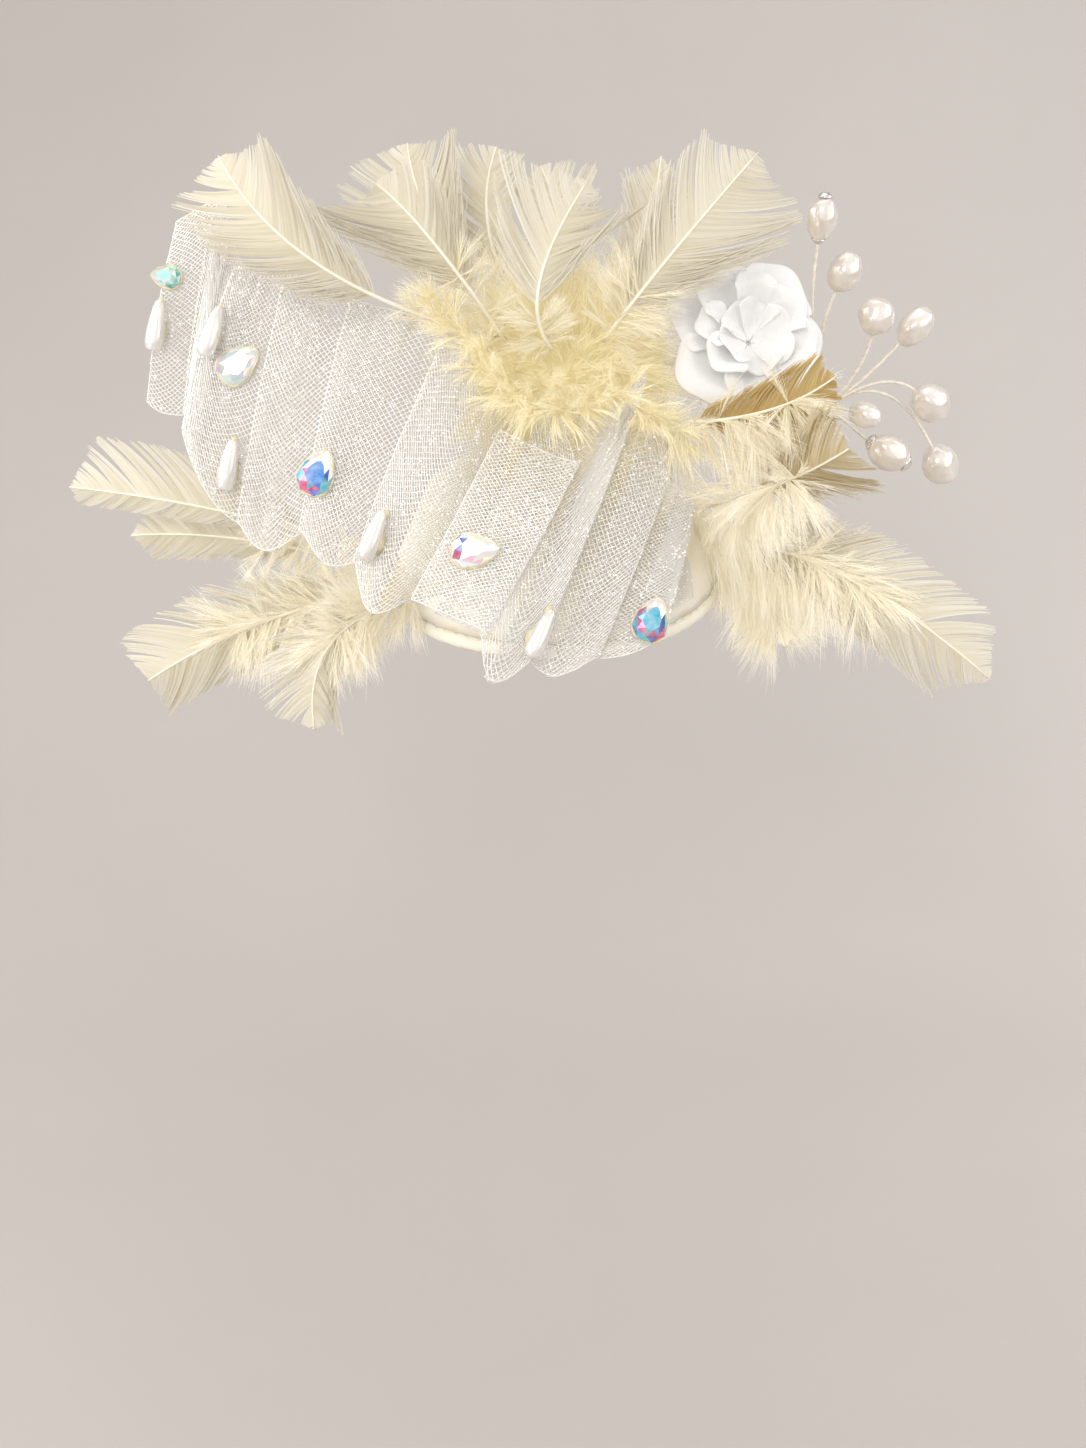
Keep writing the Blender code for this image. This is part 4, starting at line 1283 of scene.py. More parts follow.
PLUMES = (
    Plume("feather_top_1", Seat.PUFF, (-0.67, -0.50, 0.55), 0.95, (-0.59, -0.51, 0.21), (-0.82, -0.12, 0.55),
          0.90, 0.95, 0.34, 1.05, 0.72, left_splits=(0.30, 0.36, 0.80, 0.90), right_splits=(0.12, 0.3),
          down_finish=PALE_DOWN, down=8, down_reach=0.22, hang=0.0),
    Plume("feather_top_2", Seat.PUFF, (-0.61, -0.60, 0.52), 0.59, (-0.41, -0.38, 0.68), (-0.64, 0.02, 0.77),
          1.35, 0.70, 0.22, 1.00, 0.60, left_splits=(0.10, 0.18, 0.27, 0.36, 0.47, 0.6), right_splits=(0.5,),
          soft=0.35, down_finish=PALE_DOWN, down=30, down_reach=0.32, hang=0.0),
    Plume("feather_top_3", Seat.PUFF, (-0.66, 0.07, 0.75), 0.56, (-0.43, 0.07, 0.38), (-0.49, 0.29, 0.83),
          1.15, 1.15, 0.25, 1.05, 0.90, left_splits=(0.45, 0.7), right_splits=(0.6,), down_finish=PALE_DOWN, down=16,
          down_reach=0.3, hang=0.0),
    Plume("feather_top_4", Seat.PUFF, (-0.11, -0.85, 0.52), 0.50, (-0.25, -0.43, 0.35), (0.21, 0.31, 0.93),
          1.30, 1.30, 0.35, 1.50, 1.50, left_splits=(0.12, 0.2, 0.34, 0.42), right_splits=(0.15, 0.3, 0.45),
          soft=0.18, down_finish=PALE_DOWN, down=30, down_reach=0.28, hang=0.0),
    Plume("feather_top_5", Seat.PUFF, (0.48, -0.68, 0.56), 0.72, (0.14, -0.31, 0.27), (0.63, 0.29, 0.72),
          0.90, 1.30, 0.25, 1.10, 1.50, left_splits=(0.15, 0.24, 0.34, 0.44), right_splits=(0.10, 0.2, 0.3, 0.4),
          soft=0.40, down_finish=PALE_DOWN, down=40, hang=0.0, down_length=0.016, down_reach=0.34),
    Plume("feather_top_6", Seat.PUFF, (-0.46, 0.53, 0.71), 0.53, (-0.32, 0.28, 0.46), (-0.15, 0.43, 0.89),
          0.60, 0.60, 0.25, 0.95, 0.95, down_finish=PALE_DOWN, down=14, down_reach=0.3, hang=0.0),
    Plume("feather_top_7", Seat.PUFF, (0.48, 0.55, 0.68), 0.53, (0.31, 0.28, 0.40), (0.35, 0.39, 0.85),
          0.60, 0.60, 0.25, 0.60, 0.60, soft=0.7, down_finish=PALE_DOWN, down=14, down_reach=0.3, hang=0.0),
    Plume("feather_top_8", Seat.PUFF, (0.00, 0.65, 0.76), 0.52, (0.07, 0.37, 0.42), (-0.12, 0.62, 0.77),
          0.80, 0.80, 0.25, 0.90, 0.90, down_finish=PALE_DOWN, down=14, down_reach=0.3, hang=0.0),
    Plume("feather_left_1", Seat.BASE, (-0.91, -0.37, 0.18), 1.04, (-0.45, -0.02, 0.17), (-0.98, 0.09, 0.20),
          0.32, 0.85, 0.30, 0.80, 0.80, right_splits=(0.28, 0.4, 0.5, 0.6, 0.7, 0.8), down=40),
    Plume("feather_left_2", Seat.BASE, (-0.99, -0.16, 0.04), 0.84, (-0.53, 0.07, 0.16), (-0.98, 0.17, 0.10),
          0.50, 0.50, 0.30, 0.60, 0.60, soft=0.35, down=50),
    Plume("feather_left_3", Seat.BASE, (-0.87, -0.50, 0.04), 0.83, (-0.52, -0.17, -0.02), (-0.94, -0.15, -0.31),
          0.80, 0.80, 0.16, 1.10, 1.10, left_splits=(0.3, 0.45, 0.6), right_splits=(0.3, 0.45, 0.6),
          soft=0.45, down=150, down_length=0.019, down_reach=0.62),
    Plume("feather_left_4", Seat.BASE, (-0.76, -0.65, 0.03), 0.52, (-0.68, -0.44, 0.01), (-0.61, -0.40, -0.68),
          0.70, 0.70, 0.20, 1.05, 1.05, soft=0.6, down=150, down_length=0.018, down_reach=0.55),
    Plume("feather_right_1", Seat.BASE, (0.87, -0.18, 0.45), 0.73, (0.33, -0.64, 0.24), (0.55, -0.72, 0.42),
          0.85, 0.85, 0.40, 0.80, 0.80, WARM_FEATHER, Slot.TAN_FEATHER, soft=0.4, down=120, down_length=0.021,
          down_reach=0.62, hang=0.8),
    Plume("feather_right_2", Seat.PUFF, (0.83, -0.43, -0.35), 0.61, (0.56, -0.59, 0.07), (0.90, -0.33, 0.28),
          0.55, 0.55, 0.25, 0.70, 0.70, STRAW_FEATHER, Slot.TAN_FEATHER, down_finish=PALE_DOWN, soft=0.5,
          down=130, down_length=0.018, down_reach=0.8, hang=1.3),
    Plume("feather_right_3", Seat.BASE, (0.95, -0.20, 0.23), 0.97, (0.32, -0.29, 0.12), (0.89, -0.25, -0.38),
          0.80, 0.95, 0.12, 0.85, 0.95, left_splits=(0.45, 0.55, 0.65, 0.75),
          right_splits=(0.3, 0.42, 0.5, 0.58, 0.66, 0.74), soft=0.45, down=170, down_length=0.021,
          down_reach=0.65, hang=0.7),
    Plume("marabou_plume", Seat.BASE, (1.00, -0.04, 0.09), 0.36, (0.43, -0.27, -0.03), (0.60, -0.42, -0.68),
          0.70, 0.70, 0.20, 0.80, 0.80, CREAM_DOWN, Slot.DOWN, soft=1.0, down=190, down_length=0.0185,
          down_reach=0.8, hang=0.35),
)


@dataclass
class Feather:
    """A trimmed feather: a tapered shaft, barbs in locks on both sides, and down near the root."""

    row: Plume
    root: Vector
    number: int
    feather_length: float = 0.100
    barb_length: float = 0.030
    barb_angle: float = math.radians(38)
    shaft_radius: float = 0.0009
    shaft_tip: float = 0.35
    cup: float = 0.12
    barb_pitch: float = 0.00050
    barb_width: float = 0.00056
    barb_bow: float = 0.16
    lock_length: float = 0.0034
    lock_lean: float = 0.03
    lock_lift: float = 0.04
    soft_fullness: float = 1.8
    loose_bow: float = 0.14
    wisp_strands: int = 40
    shaft_steps: int = 22

    def __post_init__(self) -> None:
        """Work out the bow and the random source."""
        self.length = self.row.length * self.feather_length
        self.bend = Vector(self.row.bend) * self.length
        self.tip = Vector(self.row.tip) * self.length
        self.dice = random.Random(100 + self.number)

    def axes(self, share: float) -> tuple[Vector, Vector, Vector, Vector]:
        """Return the place on the shaft, the way along it, the way that the face looks, and the right side."""
        place = bend_point(self.root, self.bend, self.tip, share)
        along = (bend_point(self.root, self.bend, self.tip, share + 0.01) - place).normalized()
        front = Vector((0, -1, 0))
        facing = (front - along * front.dot(along)).normalized()
        return place, along, facing, along.cross(facing)

    def barb_reach(self, share: float, side: Side) -> float:
        """Return the length of a barb that starts at this share of the shaft."""
        row = self.row
        barbs, cut = (row.left, row.left_cut) if side is Side.LEFT else (row.right, row.right_cut)
        rise = min(1.0, 0.45 + 2.2 * (share - row.bare))
        room = (1 - share) * self.length * cut / math.cos(self.barb_angle)
        return min(barbs * self.barb_length * rise, room)

    def barb_tip(self, share: float, side: Side, fullness: float = 1.0) -> Vector:
        """Return where a barb ends."""
        place, along, facing, right = self.axes(share)
        barb = self.barb_reach(share, side) * fullness
        return (place + along * (barb * math.cos(self.barb_angle)) - facing * (barb * self.cup)
                + right * (side.value * barb * math.sin(self.barb_angle)))

    def looseness(self, share: float) -> float:
        """Return how loose the barbs are at this share of the shaft, from 0 to 1."""
        return held(1 - (share - self.row.bare) / self.row.soft)

    def grow_vane(self, into: list[Strand], side: Side) -> None:
        """Add one side's barbs, drawn together between the splits and again into small locks.

        Args:
            into: where the barbs go.
            side: the side.
        """
        row, dice = self.row, self.dice
        splits = row.left_splits if side is Side.LEFT else row.right_splits
        bounds = [row.bare, *(row.bare + (1 - row.bare) * split for split in splits), 0.995]
        for low, high in zip(bounds, bounds[1:]):
            pull = dice.uniform(0.08, 0.22)
            start = low
            while start < high:
                end = min(high, start + dice.uniform(0.4, 1.7) * self.lock_length / self.length)
                self.grow_lock(into, side, start, end, (low + high) / 2, pull)
                start = end

    def grow_lock(self, into: list[Strand], side: Side, low: float, high: float, centre: float,
                  pull: float) -> None:
        """Add the barbs of one small lock.

        Args:
            into: where the barbs go.
            side: the side of the shaft.
            low: where the lock starts, as a share of the shaft.
            high: where it ends.
            centre: the middle of the stretch between splits that the lock belongs to.
            pull: how far the tips are drawn towards that middle.
        """
        dice = self.dice
        lean, lift = dice.gauss(0, self.lock_lean), dice.gauss(0, self.lock_lift)
        own_pull, lock_tone = dice.uniform(0.1, 0.45), dice.uniform(0.0, 0.7)
        fullness = 1 + self.soft_fullness * self.looseness(low)
        barbs = max(1, round((high - low) * self.length / self.barb_pitch * fullness))
        for number in range(barbs):
            share = low + (high - low) * (number + dice.random() * 0.5) / barbs
            loose = self.looseness(share)
            place, along, facing, right = self.axes(share)
            tip = self.barb_tip(share, side, dice.uniform(0.90, 1.02) + loose * dice.uniform(-0.25, 0.2))
            tip = tip.lerp(self.barb_tip((low + high) / 2, side), own_pull)
            tip = tip.lerp(self.barb_tip(centre, side), pull)
            span = (tip - place).length
            tip += along * (lean * span) + facing * (lift * span) + any_way(dice) * (span * (0.01 + 0.12 * loose))
            bow = right * (side.value * span * self.barb_bow) - along * (span * 0.05)
            drop = Vector((0, 0, self.row.hang * 0.3 * span * loose))
            bow += any_way(dice) * (span * self.loose_bow * loose) + drop
            way = tip - place
            flat = facing.cross(way).normalized()
            across = (flat + facing * (side.value * dice.uniform(0.1, 0.6))).normalized()
            width = self.barb_width * dice.uniform(0.8, 1.2) * (1 - 0.4 * loose)
            into.append(Strand(place, way + bow, -bow, across, width, held(lock_tone + dice.uniform(-0.2, 0.2))))

    def grow_down(self, into: list[Strand]) -> None:
        """Add the wisps of down along the lower shaft."""
        row, dice = self.row, self.dice
        for _ in range(row.down):
            share = row.down_reach * dice.random() ** 0.9
            place, along, _, right = self.axes(share)
            side = dice.choice((-1, 1))
            way = (right * side * dice.uniform(0.5, 1.0) + along * dice.uniform(0.2, 0.8)
                   + any_way(dice) * 0.45 + Vector((0, 0, -row.hang * dice.uniform(0.5, 1.2)))).normalized()
            Plumelet(place, way * (row.down_length * dice.uniform(0.55, 1.2)), self.wisp_strands,
                     dice.uniform(0.0, 0.8), 0.04 + 0.18 * row.hang).grow(into, dice)

    def build(self) -> Piece:
        """Build the feather as one piece."""
        barbs: list[Strand] = []
        down: list[Strand] = []
        for side in Side:
            self.grow_vane(barbs, side)
        self.grow_down(down)
        shaft = Draft()
        shares = [step / self.shaft_steps for step in range(self.shaft_steps + 1)]
        shaft.add_tube([bend_point(self.root, self.bend, self.tip, share) for share in shares],
                       [self.shaft_radius * 0.8 * (1 + (self.shaft_tip - 1) * share) for share in shares])
        name = self.row.name
        pieces = [shaft.build(name + "_shaft", [QUILL.material()]),
                  build_strands(name + "_barbs", barbs, self.row.finish, 6, 0.34),
                  build_strands(name + "_down", down, self.row.down_finish, 3, 0.3)]
        return hand_over(join(name + "_plumage", pieces), self.row.slot, name)


def join(name: str, pieces: Sequence[Piece]) -> Piece:
    """Join objects into one.

    Args:
        name: the joined piece's name.
        pieces: the objects, of which the first one is kept.

    Returns:
        The joined object.
    """
    with bpy.context.temp_override(active_object=pieces[0], selected_editable_objects=list(pieces)):
        bpy.ops.object.join()
    pieces[0].name = name
    pieces[0].data.name = name
    return pieces[0]


@dataclass
class Plumage:
    """All the feathers, rooted on the frame's own base and puff."""

    base: SatinBase
    puff_middle: Vector
    far: float = 0.145

    def build(self) -> None:
        """Build each feather from its row."""
        graph = bpy.context.evaluated_depsgraph_get()
        trees = {seat: BVHTree.FromObject(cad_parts[seat.value], graph) for seat in Seat}
        middles = {Seat.BASE: Vector(), Seat.PUFF: self.puff_middle}
        for number, row in enumerate(PLUMES):
            root = seat_on(trees[row.seat], middles[row.seat], Vector(row.root), Vector(row.bend), 0.0009, self.far)
            Feather(row, root, number).build()


@dataclass
class MarabouPuff:
    """The mound of yellow down that the feathers and the flower are set in."""

    middle: Vector
    half_width: float = 0.031
    half_depth: float = 0.022
    half_height: float = 0.024
    core_share: float = 0.58
    core_rows: int = 16
    core_columns: int = 28
    collar: tuple[Triple, ...] = ((-0.040, -0.038, 0.094), (-0.029, -0.041, 0.084), (-0.020, -0.046, 0.070),
                                  (-0.006, -0.050, 0.062), (0.008, -0.052, 0.060), (0.020, -0.050, 0.067),
                                  (0.036, -0.044, 0.056), (0.046, -0.036, 0.046))
    collar_wisps: int = 220
    wisps: int = 820
    wisp_length: float = 0.0230
    wisp_strands: int = 30

    def core_sizes(self) -> Vector:
        """Return the core's half width, half depth and half height."""
        return Vector((self.half_width, self.half_depth, self.half_height)) * self.core_share

    def build_core(self) -> Piece:
        """Build the rough core that fills the space between the wisps."""
        sizes = self.core_sizes()
        rings = []
        for row in range(1, self.core_rows):
            polar = math.pi * row / self.core_rows
            ring = []
            for column in range(self.core_columns):
                turn = math.tau * column / self.core_columns
                ball = Vector((math.sin(polar) * math.cos(turn), math.sin(polar) * math.sin(turn), math.cos(polar)))
                rough = 1 + 0.12 * noise.noise(ball * 4)
                ring.append(self.middle + Vector(a * b * rough for a, b in zip(ball, sizes)))
            rings.append(ring)
        draft = Draft()
        draft.add_rings(list(reversed(rings)))
        core = draft.build("puff_core", [YELLOW_DOWN.material()])
        # The core's along value mixes in some of the painted root shade.
        for label, value in (("tone", 0.6), ("along", 0.5)):
            store(core.data, label, [value] * len(core.data.vertices))
        return core

    def grow_mound(self, down: list[Strand], dice: random.Random) -> None:
        """Add wisps of down all over the core."""
        golden = math.pi * (3 - math.sqrt(5))
        for number in range(self.wisps):
            height = 1 - 2 * (number + 0.5) / self.wisps
            ring = math.sqrt(1 - height * height)
            ball = Vector((ring * math.cos(golden * number), ring * math.sin(golden * number), height))
            root = self.middle + Vector(a * b * 0.9 for a, b in zip(ball, self.core_sizes()))
            way = (Vector((ball.x * 1.3, ball.y * 0.7, ball.z * 1.3 + 0.25)) + any_way(dice) * 0.7).normalized()
            size = self.wisp_length * dice.uniform(0.65, 1.3) * (1 + 0.3 * max(0.0, ball.z))
            Plumelet(root, way * size, self.wisp_strands, dice.uniform(0.0, 1.0), 0.16).grow(down, dice)

    def grow_collar(self, down: list[Strand], dice: random.Random) -> None:
        """Add the wisps that hide where the nets and the flower are sewn on."""
        collar = [Vector(point) for point in self.collar]
        for _ in range(self.collar_wisps):
            place = smooth_place(collar, dice.uniform(0, len(collar) - 1))
            inward = (self.middle - place).normalized()
            way = (any_way(dice) * 0.8 - inward * 0.9 + Vector((0, -0.35, 0.1))).normalized()
            Plumelet(place + inward * dice.uniform(0.004, 0.014), way * (self.wisp_length * dice.uniform(0.4, 0.8)),
                     self.wisp_strands, dice.uniform(0.0, 0.7), 0.1).grow(down, dice)

    def build(self) -> Piece:
        """Build the puff: a rough core, wisps of down all over it, and a collar of wisps below."""
        dice = random.Random(7)
        down: list[Strand] = []
        self.grow_mound(down, dice)
        self.grow_collar(down, dice)
        pieces = [self.build_core(), build_strands("puff_down", down, YELLOW_DOWN, 3, 0.3)]
        return hand_over(join("marabou_down", pieces), Slot.DOWN, "marabou_puff")


# Flower


@dataclass(frozen=True)
class Whorl:
    """A ring of petals. Radius is a share of the flower's, and rings and lift are shares of the whorl's own."""

    name: str
    node: str
    radius: float
    petals: int
    notch: float
    rings: tuple[float, ...]
    lift: tuple[float, ...]
    turn: float
    rise: float
    ruffle: float
    waves: float


WHORLS = (
    Whorl("petals_outer", "flower_outer", 1.00, 7, 0.16, (0.0, 0.30, 0.62, 0.85, 1.00),
          (0.0, 0.02, 0.10, 0.15, 0.10), 0.0, 0.0, 0.030, 1.5),
    Whorl("petals_inner", "flower_inner", 0.74, 8, 0.14, (0.0, 0.32, 0.62, 0.85, 1.00),
          (0.0, 0.05, 0.24, 0.36, 0.34), 0.6, 0.0016, 0.045, 1.5),
    Whorl("petals_heart", "flower_heart", 0.46, 6, 0.12, (0.0, 0.35, 0.70, 0.95, 1.12),
          (0.0, 0.10, 0.34, 0.52, 0.46), 0.3, 0.0030, 0.13, 1.2),
)


@dataclass
class FabricFlower:
    """The white fabric flower with ruffled, overlapping petals."""

    base: SatinBase
    puff_middle: Vector
    radius: float = 0.029
    place: Triple = (1.10, -0.28, 1.76)
    facing: Triple = (0.25, -0.80, 0.50)
    overlap: float = 1.45
    petal_step: float = 0.0022
    columns: int = 18
    rows: int = 10
    cloth: float = 0.00045
    stem_radius: float = 0.0012

    def placed(self) -> Matrix:
        """Return the flower's place with its Z axis along the way that it faces."""
        outward = Vector(self.facing).normalized()
        across = Vector((0, 0, 1)).cross(outward).normalized()
        turned = Matrix((across, outward.cross(across), outward)).transposed().to_4x4()
        return Matrix.Translation(self.base.place(self.place)) @ turned

    @staticmethod
    def height_at(whorl: Whorl, share: float) -> float:
        """Return a petal's lift at a share of its reach, from the whorl's own profile."""
        for low, high, first, second in zip(whorl.rings, whorl.rings[1:], whorl.lift, whorl.lift[1:]):
            if share <= high and high > low:
                part = (share - low) / (high - low)
                eased = part * part * (3 - 2 * part) * 0.4 + part * 0.6
                return first + (second - first) * eased
        return whorl.lift[-1]

    def petal(self, draft: Draft, whorl: Whorl, number: int, placed: Matrix, dice: random.Random) -> None:
        """Add one petal's sheet to the draft."""
        reach = whorl.radius * self.radius
        span = math.tau / whorl.petals * self.overlap
        middle = whorl.turn + math.tau * number / whorl.petals + dice.uniform(-0.1, 0.1)
        phase, size = dice.uniform(0, math.tau), dice.uniform(0.86, 1.05)
        tilt = dice.uniform(-0.10, 0.14)
        curl = dice.uniform(0.3, 1.0)
        lines = []
        for column in range(self.columns + 1):
            across = 2 * column / self.columns - 1
            line = []
            for row in range(self.rows + 1):
                out = 0.06 + 0.94 * row / self.rows
                scallop = 0.025 * math.cos(across * 7 + phase) * out ** 3
                outline = 1 - whorl.notch * across ** 2 * 1.6 * out + scallop
                narrow = 0.45 + 0.55 * math.sin(min(1.0, out * 1.25) * math.pi / 2)
                angle = middle + across * span / 2 * narrow
                wave = whorl.ruffle * math.sin(across * math.pi * whorl.waves + phase) * out ** 2.2
                cup = 0.10 * across ** 2 * out
                fine = 0.01 * noise.noise(Vector((across * 3 + number, out * 4, phase)))
                lift = (self.height_at(whorl, out) + wave + cup + fine + tilt * out
                        - 0.06 * curl * max(0.0, out - 0.85) / 0.15 * (1.0 if whorl.radius > 0.6 else 0.0))
                far = reach * size * out * outline
                step = self.petal_step * (0.5 + 0.5 * across) * out + whorl.rise
                line.append(placed @ Vector((far * math.cos(angle), far * math.sin(angle), reach * lift + step)))
            lines.append(line)
        draft.add_rings(lines, closed=False)

    def build_whorl(self, whorl: Whorl, seed: int) -> Piece:
        """Build one whorl."""
        dice = random.Random(40 + seed)
        placed = self.placed()
        draft = Draft()
        for number in range(whorl.petals):
            self.petal(draft, whorl, number, placed, dice)
        if whorl.node == "flower_outer":
            bow = placed @ Vector((0, 0, -3 * self.stem_radius))
            foot = bow.lerp(self.puff_middle, 0.45)
            back = placed @ Vector((0, 0, -0.0002))
            draft.add_tube([foot, foot.lerp(bow, 0.6), bow, back], [self.stem_radius] * 4)
        piece = draft.build(whorl.name, [PETAL.material()])
        wall = piece.modifiers.new("cloth", "SOLIDIFY")
        wall.thickness, wall.offset = self.cloth, 0
        smooth = piece.modifiers.new("smooth", "SUBSURF")
        smooth.levels = smooth.render_levels = 1
        apply_modifiers(piece)
        return hand_over(piece, Slot.PETAL, whorl.node)

    def build(self) -> None:
        """Build every whorl."""
        for seed, whorl in enumerate(WHORLS):
            self.build_whorl(whorl, seed)


# Pearl spray


@dataclass(frozen=True)
class SprayPearl:
    """A pearl of the spray: place and bend in shares of the spray's reach, wide and long of the pearl's radius."""

    place: Triple
    bend: Triple
    wide: float
    long: float
    cap: bool = False


SPRAY_PEARLS = (
    SprayPearl((-0.09, -0.04, 1.02), (-0.16, 0.00, 0.40), 0.78, 1.17, True),
    SprayPearl((0.06, 0.05, 0.72), (-0.12, 0.04, 0.30), 0.85, 1.12),
    SprayPearl((0.23, -0.05, 0.50), (0.18, -0.03, 0.20), 0.95, 1.02),
    SprayPearl((0.46, 0.04, 0.43), (0.18, 0.02, 0.12), 0.82, 1.15),
    SprayPearl((0.55, -0.06, 0.03), (0.30, -0.02, 0.22), 0.98, 1.10),
    SprayPearl((0.65, 0.05, -0.34), (0.34, 0.03, 0.24), 0.98, 1.10),
    SprayPearl((0.16, -0.26, 0.00), (0.04, -0.14, 0.02), 0.70, 0.90),
    SprayPearl((0.33, -0.10, -0.24), (0.16, -0.08, -0.14), 0.95, 1.20, True),
    SprayPearl((-0.16, 0.06, 0.40), (-0.10, 0.04, 0.16), 0.75, 0.95),
)


BEAD_CAP = ((0.10, 0.16), (0.22, 0.14), (0.34, 0.05), (0.46, -0.07), (0.50, -0.16), (0.42, -0.16), (0.10, -0.02))


def ball_profile(wide: float, tall: float, rows: int, inset: float) -> list[tuple[float, float]]:
    """Return the radius and height of each ring of a ball.

    Args:
        wide: the ball's radius.
        tall: its half height.
        rows: the steps from ring to ring.
        inset: how far the first and last rings lie from the poles, in steps.

    Returns:
        The rings, the top first.
    """
    angles = [math.pi * (row + inset) / (rows + 2 * inset) for row in range(rows + 1)]
    return [(wide * math.sin(angle), tall * math.cos(angle)) for angle in angles]


@dataclass
class PearlSpray:
    """River pearls on thread-wound wires that fan out from one stem."""

    base: SatinBase
    root: Triple = (0.90, 0.11, 0.42)
    stem_bend: Triple = (0.53, 0.05, 0.36)
    stem_tip: Triple = (0.81, 0.08, 0.58)
    stem_length: float = 0.052
    reach: float = 0.057
    wire_radius: float = 0.0005
    stem_radius: float = 0.0013
    pearl_radius: float = 0.0060
    ring_pitch: float = 0.00045
    thread_turn: float = 0.9
    far: float = 0.145

    def middle(self, pearl: SprayPearl, hub: Vector) -> Vector:
        """Return a pearl's middle."""
        return hub + Vector(pearl.place) * self.reach

    def along(self, pearl: SprayPearl, hub: Vector) -> Vector:
        """Return the way that a pearl's wire comes in."""
        return (self.middle(pearl, hub) - (hub + Vector(pearl.bend) * self.reach)).normalized()

    def wound(self, draft: Draft, root: Vector, bend: Vector, tip: Vector, radius: float) -> None:
        """Add a wire along a bow with its thread wound round it."""
        steps = max(8, round(tip.length / self.ring_pitch))
        path = [bend_point(root, bend, tip, step / steps) for step in range(steps + 1)]
        draft.add_tube(path, [radius] * (steps + 1), 2, self.thread_turn, 0.12)

    def build_wires(self) -> Vector:
        """Build the stem and its wires, and return the hub that the wires start from."""
        graph = bpy.context.evaluated_depsgraph_get()
        tree = BVHTree.FromObject(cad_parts["base_dome"], graph)
        root = seat_on(tree, Vector(), Vector(self.root), Vector(self.stem_bend), self.stem_radius, self.far)
        tip = Vector(self.stem_tip) * self.stem_length
        draft = Draft()
        self.wound(draft, root, Vector(self.stem_bend) * self.stem_length, tip, self.stem_radius)
        hub = root + tip
        for pearl in SPRAY_PEARLS:
            corner = hub + Vector(pearl.bend) * self.reach
            end = self.middle(pearl, hub) - self.along(pearl, hub) * (pearl.long * self.pearl_radius * 0.9)
            self.wound(draft, hub, corner - hub, end - hub, self.wire_radius)
        wires = draft.build("wound_wires", [WOUND_WIRE.material()])
        hand_over(wires, Slot.WIRE, "spray_wires")
        return hub

    def build_pearl(self, number: int, pearl: SprayPearl, hub: Vector) -> Piece:
        """Build one dimpled pearl, with its bead caps where it has them."""
        dice = random.Random(70 + number)
        turned = self.along(pearl, hub).to_track_quat("Z", "Y").to_matrix().to_4x4()
        placed = Matrix.Translation(self.middle(pearl, hub)) @ turned
        wide, long = pearl.wide * self.pearl_radius, pearl.long * self.pearl_radius
        dimples = [(any_way(dice), dice.uniform(0.05, 0.11), dice.uniform(0.25, 0.45)) for _ in range(3)]
        seed = Vector((number * 3.1, 0, 0))

        def shift(point: Vector) -> Vector:
            """Move a point of the round pearl to its uneven skin."""
            ball = Vector((point.x / wide, point.y / wide, point.z / long)).normalized()
            grown = 1 + 0.07 * noise.noise(ball * 1.4 + seed) + 0.02 * noise.noise(ball * 4 + seed)
            for way, depth, size in dimples:
                grown -= depth * math.exp(-((ball - way).length / size) ** 2)
            return point * grown

        draft = Draft()
        draft.add_turned(ball_profile(wide, long, 24, 0.25), placed, 32, 0, shift)
        for way in (1, -1) if pearl.cap else ():
            cap = [(wide * size, way * (long + wide * height)) for size, height in BEAD_CAP]
            draft.add_turned(cap[::way], placed, 20, 1)
        piece = draft.build("river_pearl_%d" % number, [PEARL.material(), SILVER.material()])
        return hand_over(piece, Slot.PEARL, "spray_pearl_%d" % number)

    def build(self) -> None:
        """Build the wires and every pearl."""
        hub = self.build_wires()
        for number, pearl in enumerate(SPRAY_PEARLS, 1):
            self.build_pearl(number, pearl, hub)


# Glued jewels


@dataclass(frozen=True)
class Jewel:
    """A jewel on the net: place counts folds from the undermost, down runs from the top edge to the hem."""

    node: str
    strip: str
    place: float
    down: float
    turn: float = 0.0
    # hues and clear hold a stone's painted reflections: strong colours and pale ones.
    hues: tuple[str, ...] = ()
    size: float = 1.0
    clear: tuple[str, ...] = ("F4F2EC", "F7E9EE", "EFE9C8", "E3F0F4")


TEARDROPS = (
    Jewel("teardrop_pearl_1", "left", 0.12, 0.58),
    Jewel("teardrop_pearl_2", "left", 2.03, 0.42),
    Jewel("teardrop_pearl_3", "left", 2.72, 0.80),
    Jewel("teardrop_pearl_4", "left", 5.26, 0.79),
    Jewel("teardrop_pearl_5", "right", 3.15, 0.84),
)
# Each stone's hues are painted reflections of its rainbow coat.
CRYSTALS = (
    Jewel("crystal_1", "left", 0.12, 0.32, 90, ("A8E6DE", "36C2C0", "E8E0B8", "1FA8A4", "D8F8F0"), 0.65),
    Jewel("crystal_2", "left", 2.56, 0.42, -40, ("D3DADF", "C6DCE2", "B9CFE8", "E4C8DA", "CFE2D2")),
    Jewel("crystal_3", "left", 4.09, 0.73, -15, ("1583D8", "D80F72", "12A8C8", "1E5FE8", "5B2BC9", "28C4D0")),
    Jewel("crystal_4", "right", 4.54, 0.65, -60, ("ECEFFA", "F6C7DC", "1E48D0", "F0EAB0", "DA3C78", "E8F4FF")),
    Jewel("crystal_5", "right", 1.36, 0.82, 0, ("18A9CC", "C80F52", "0E7CD4", "0B3FA8", "D81F7A", "3AB8C8")),
)


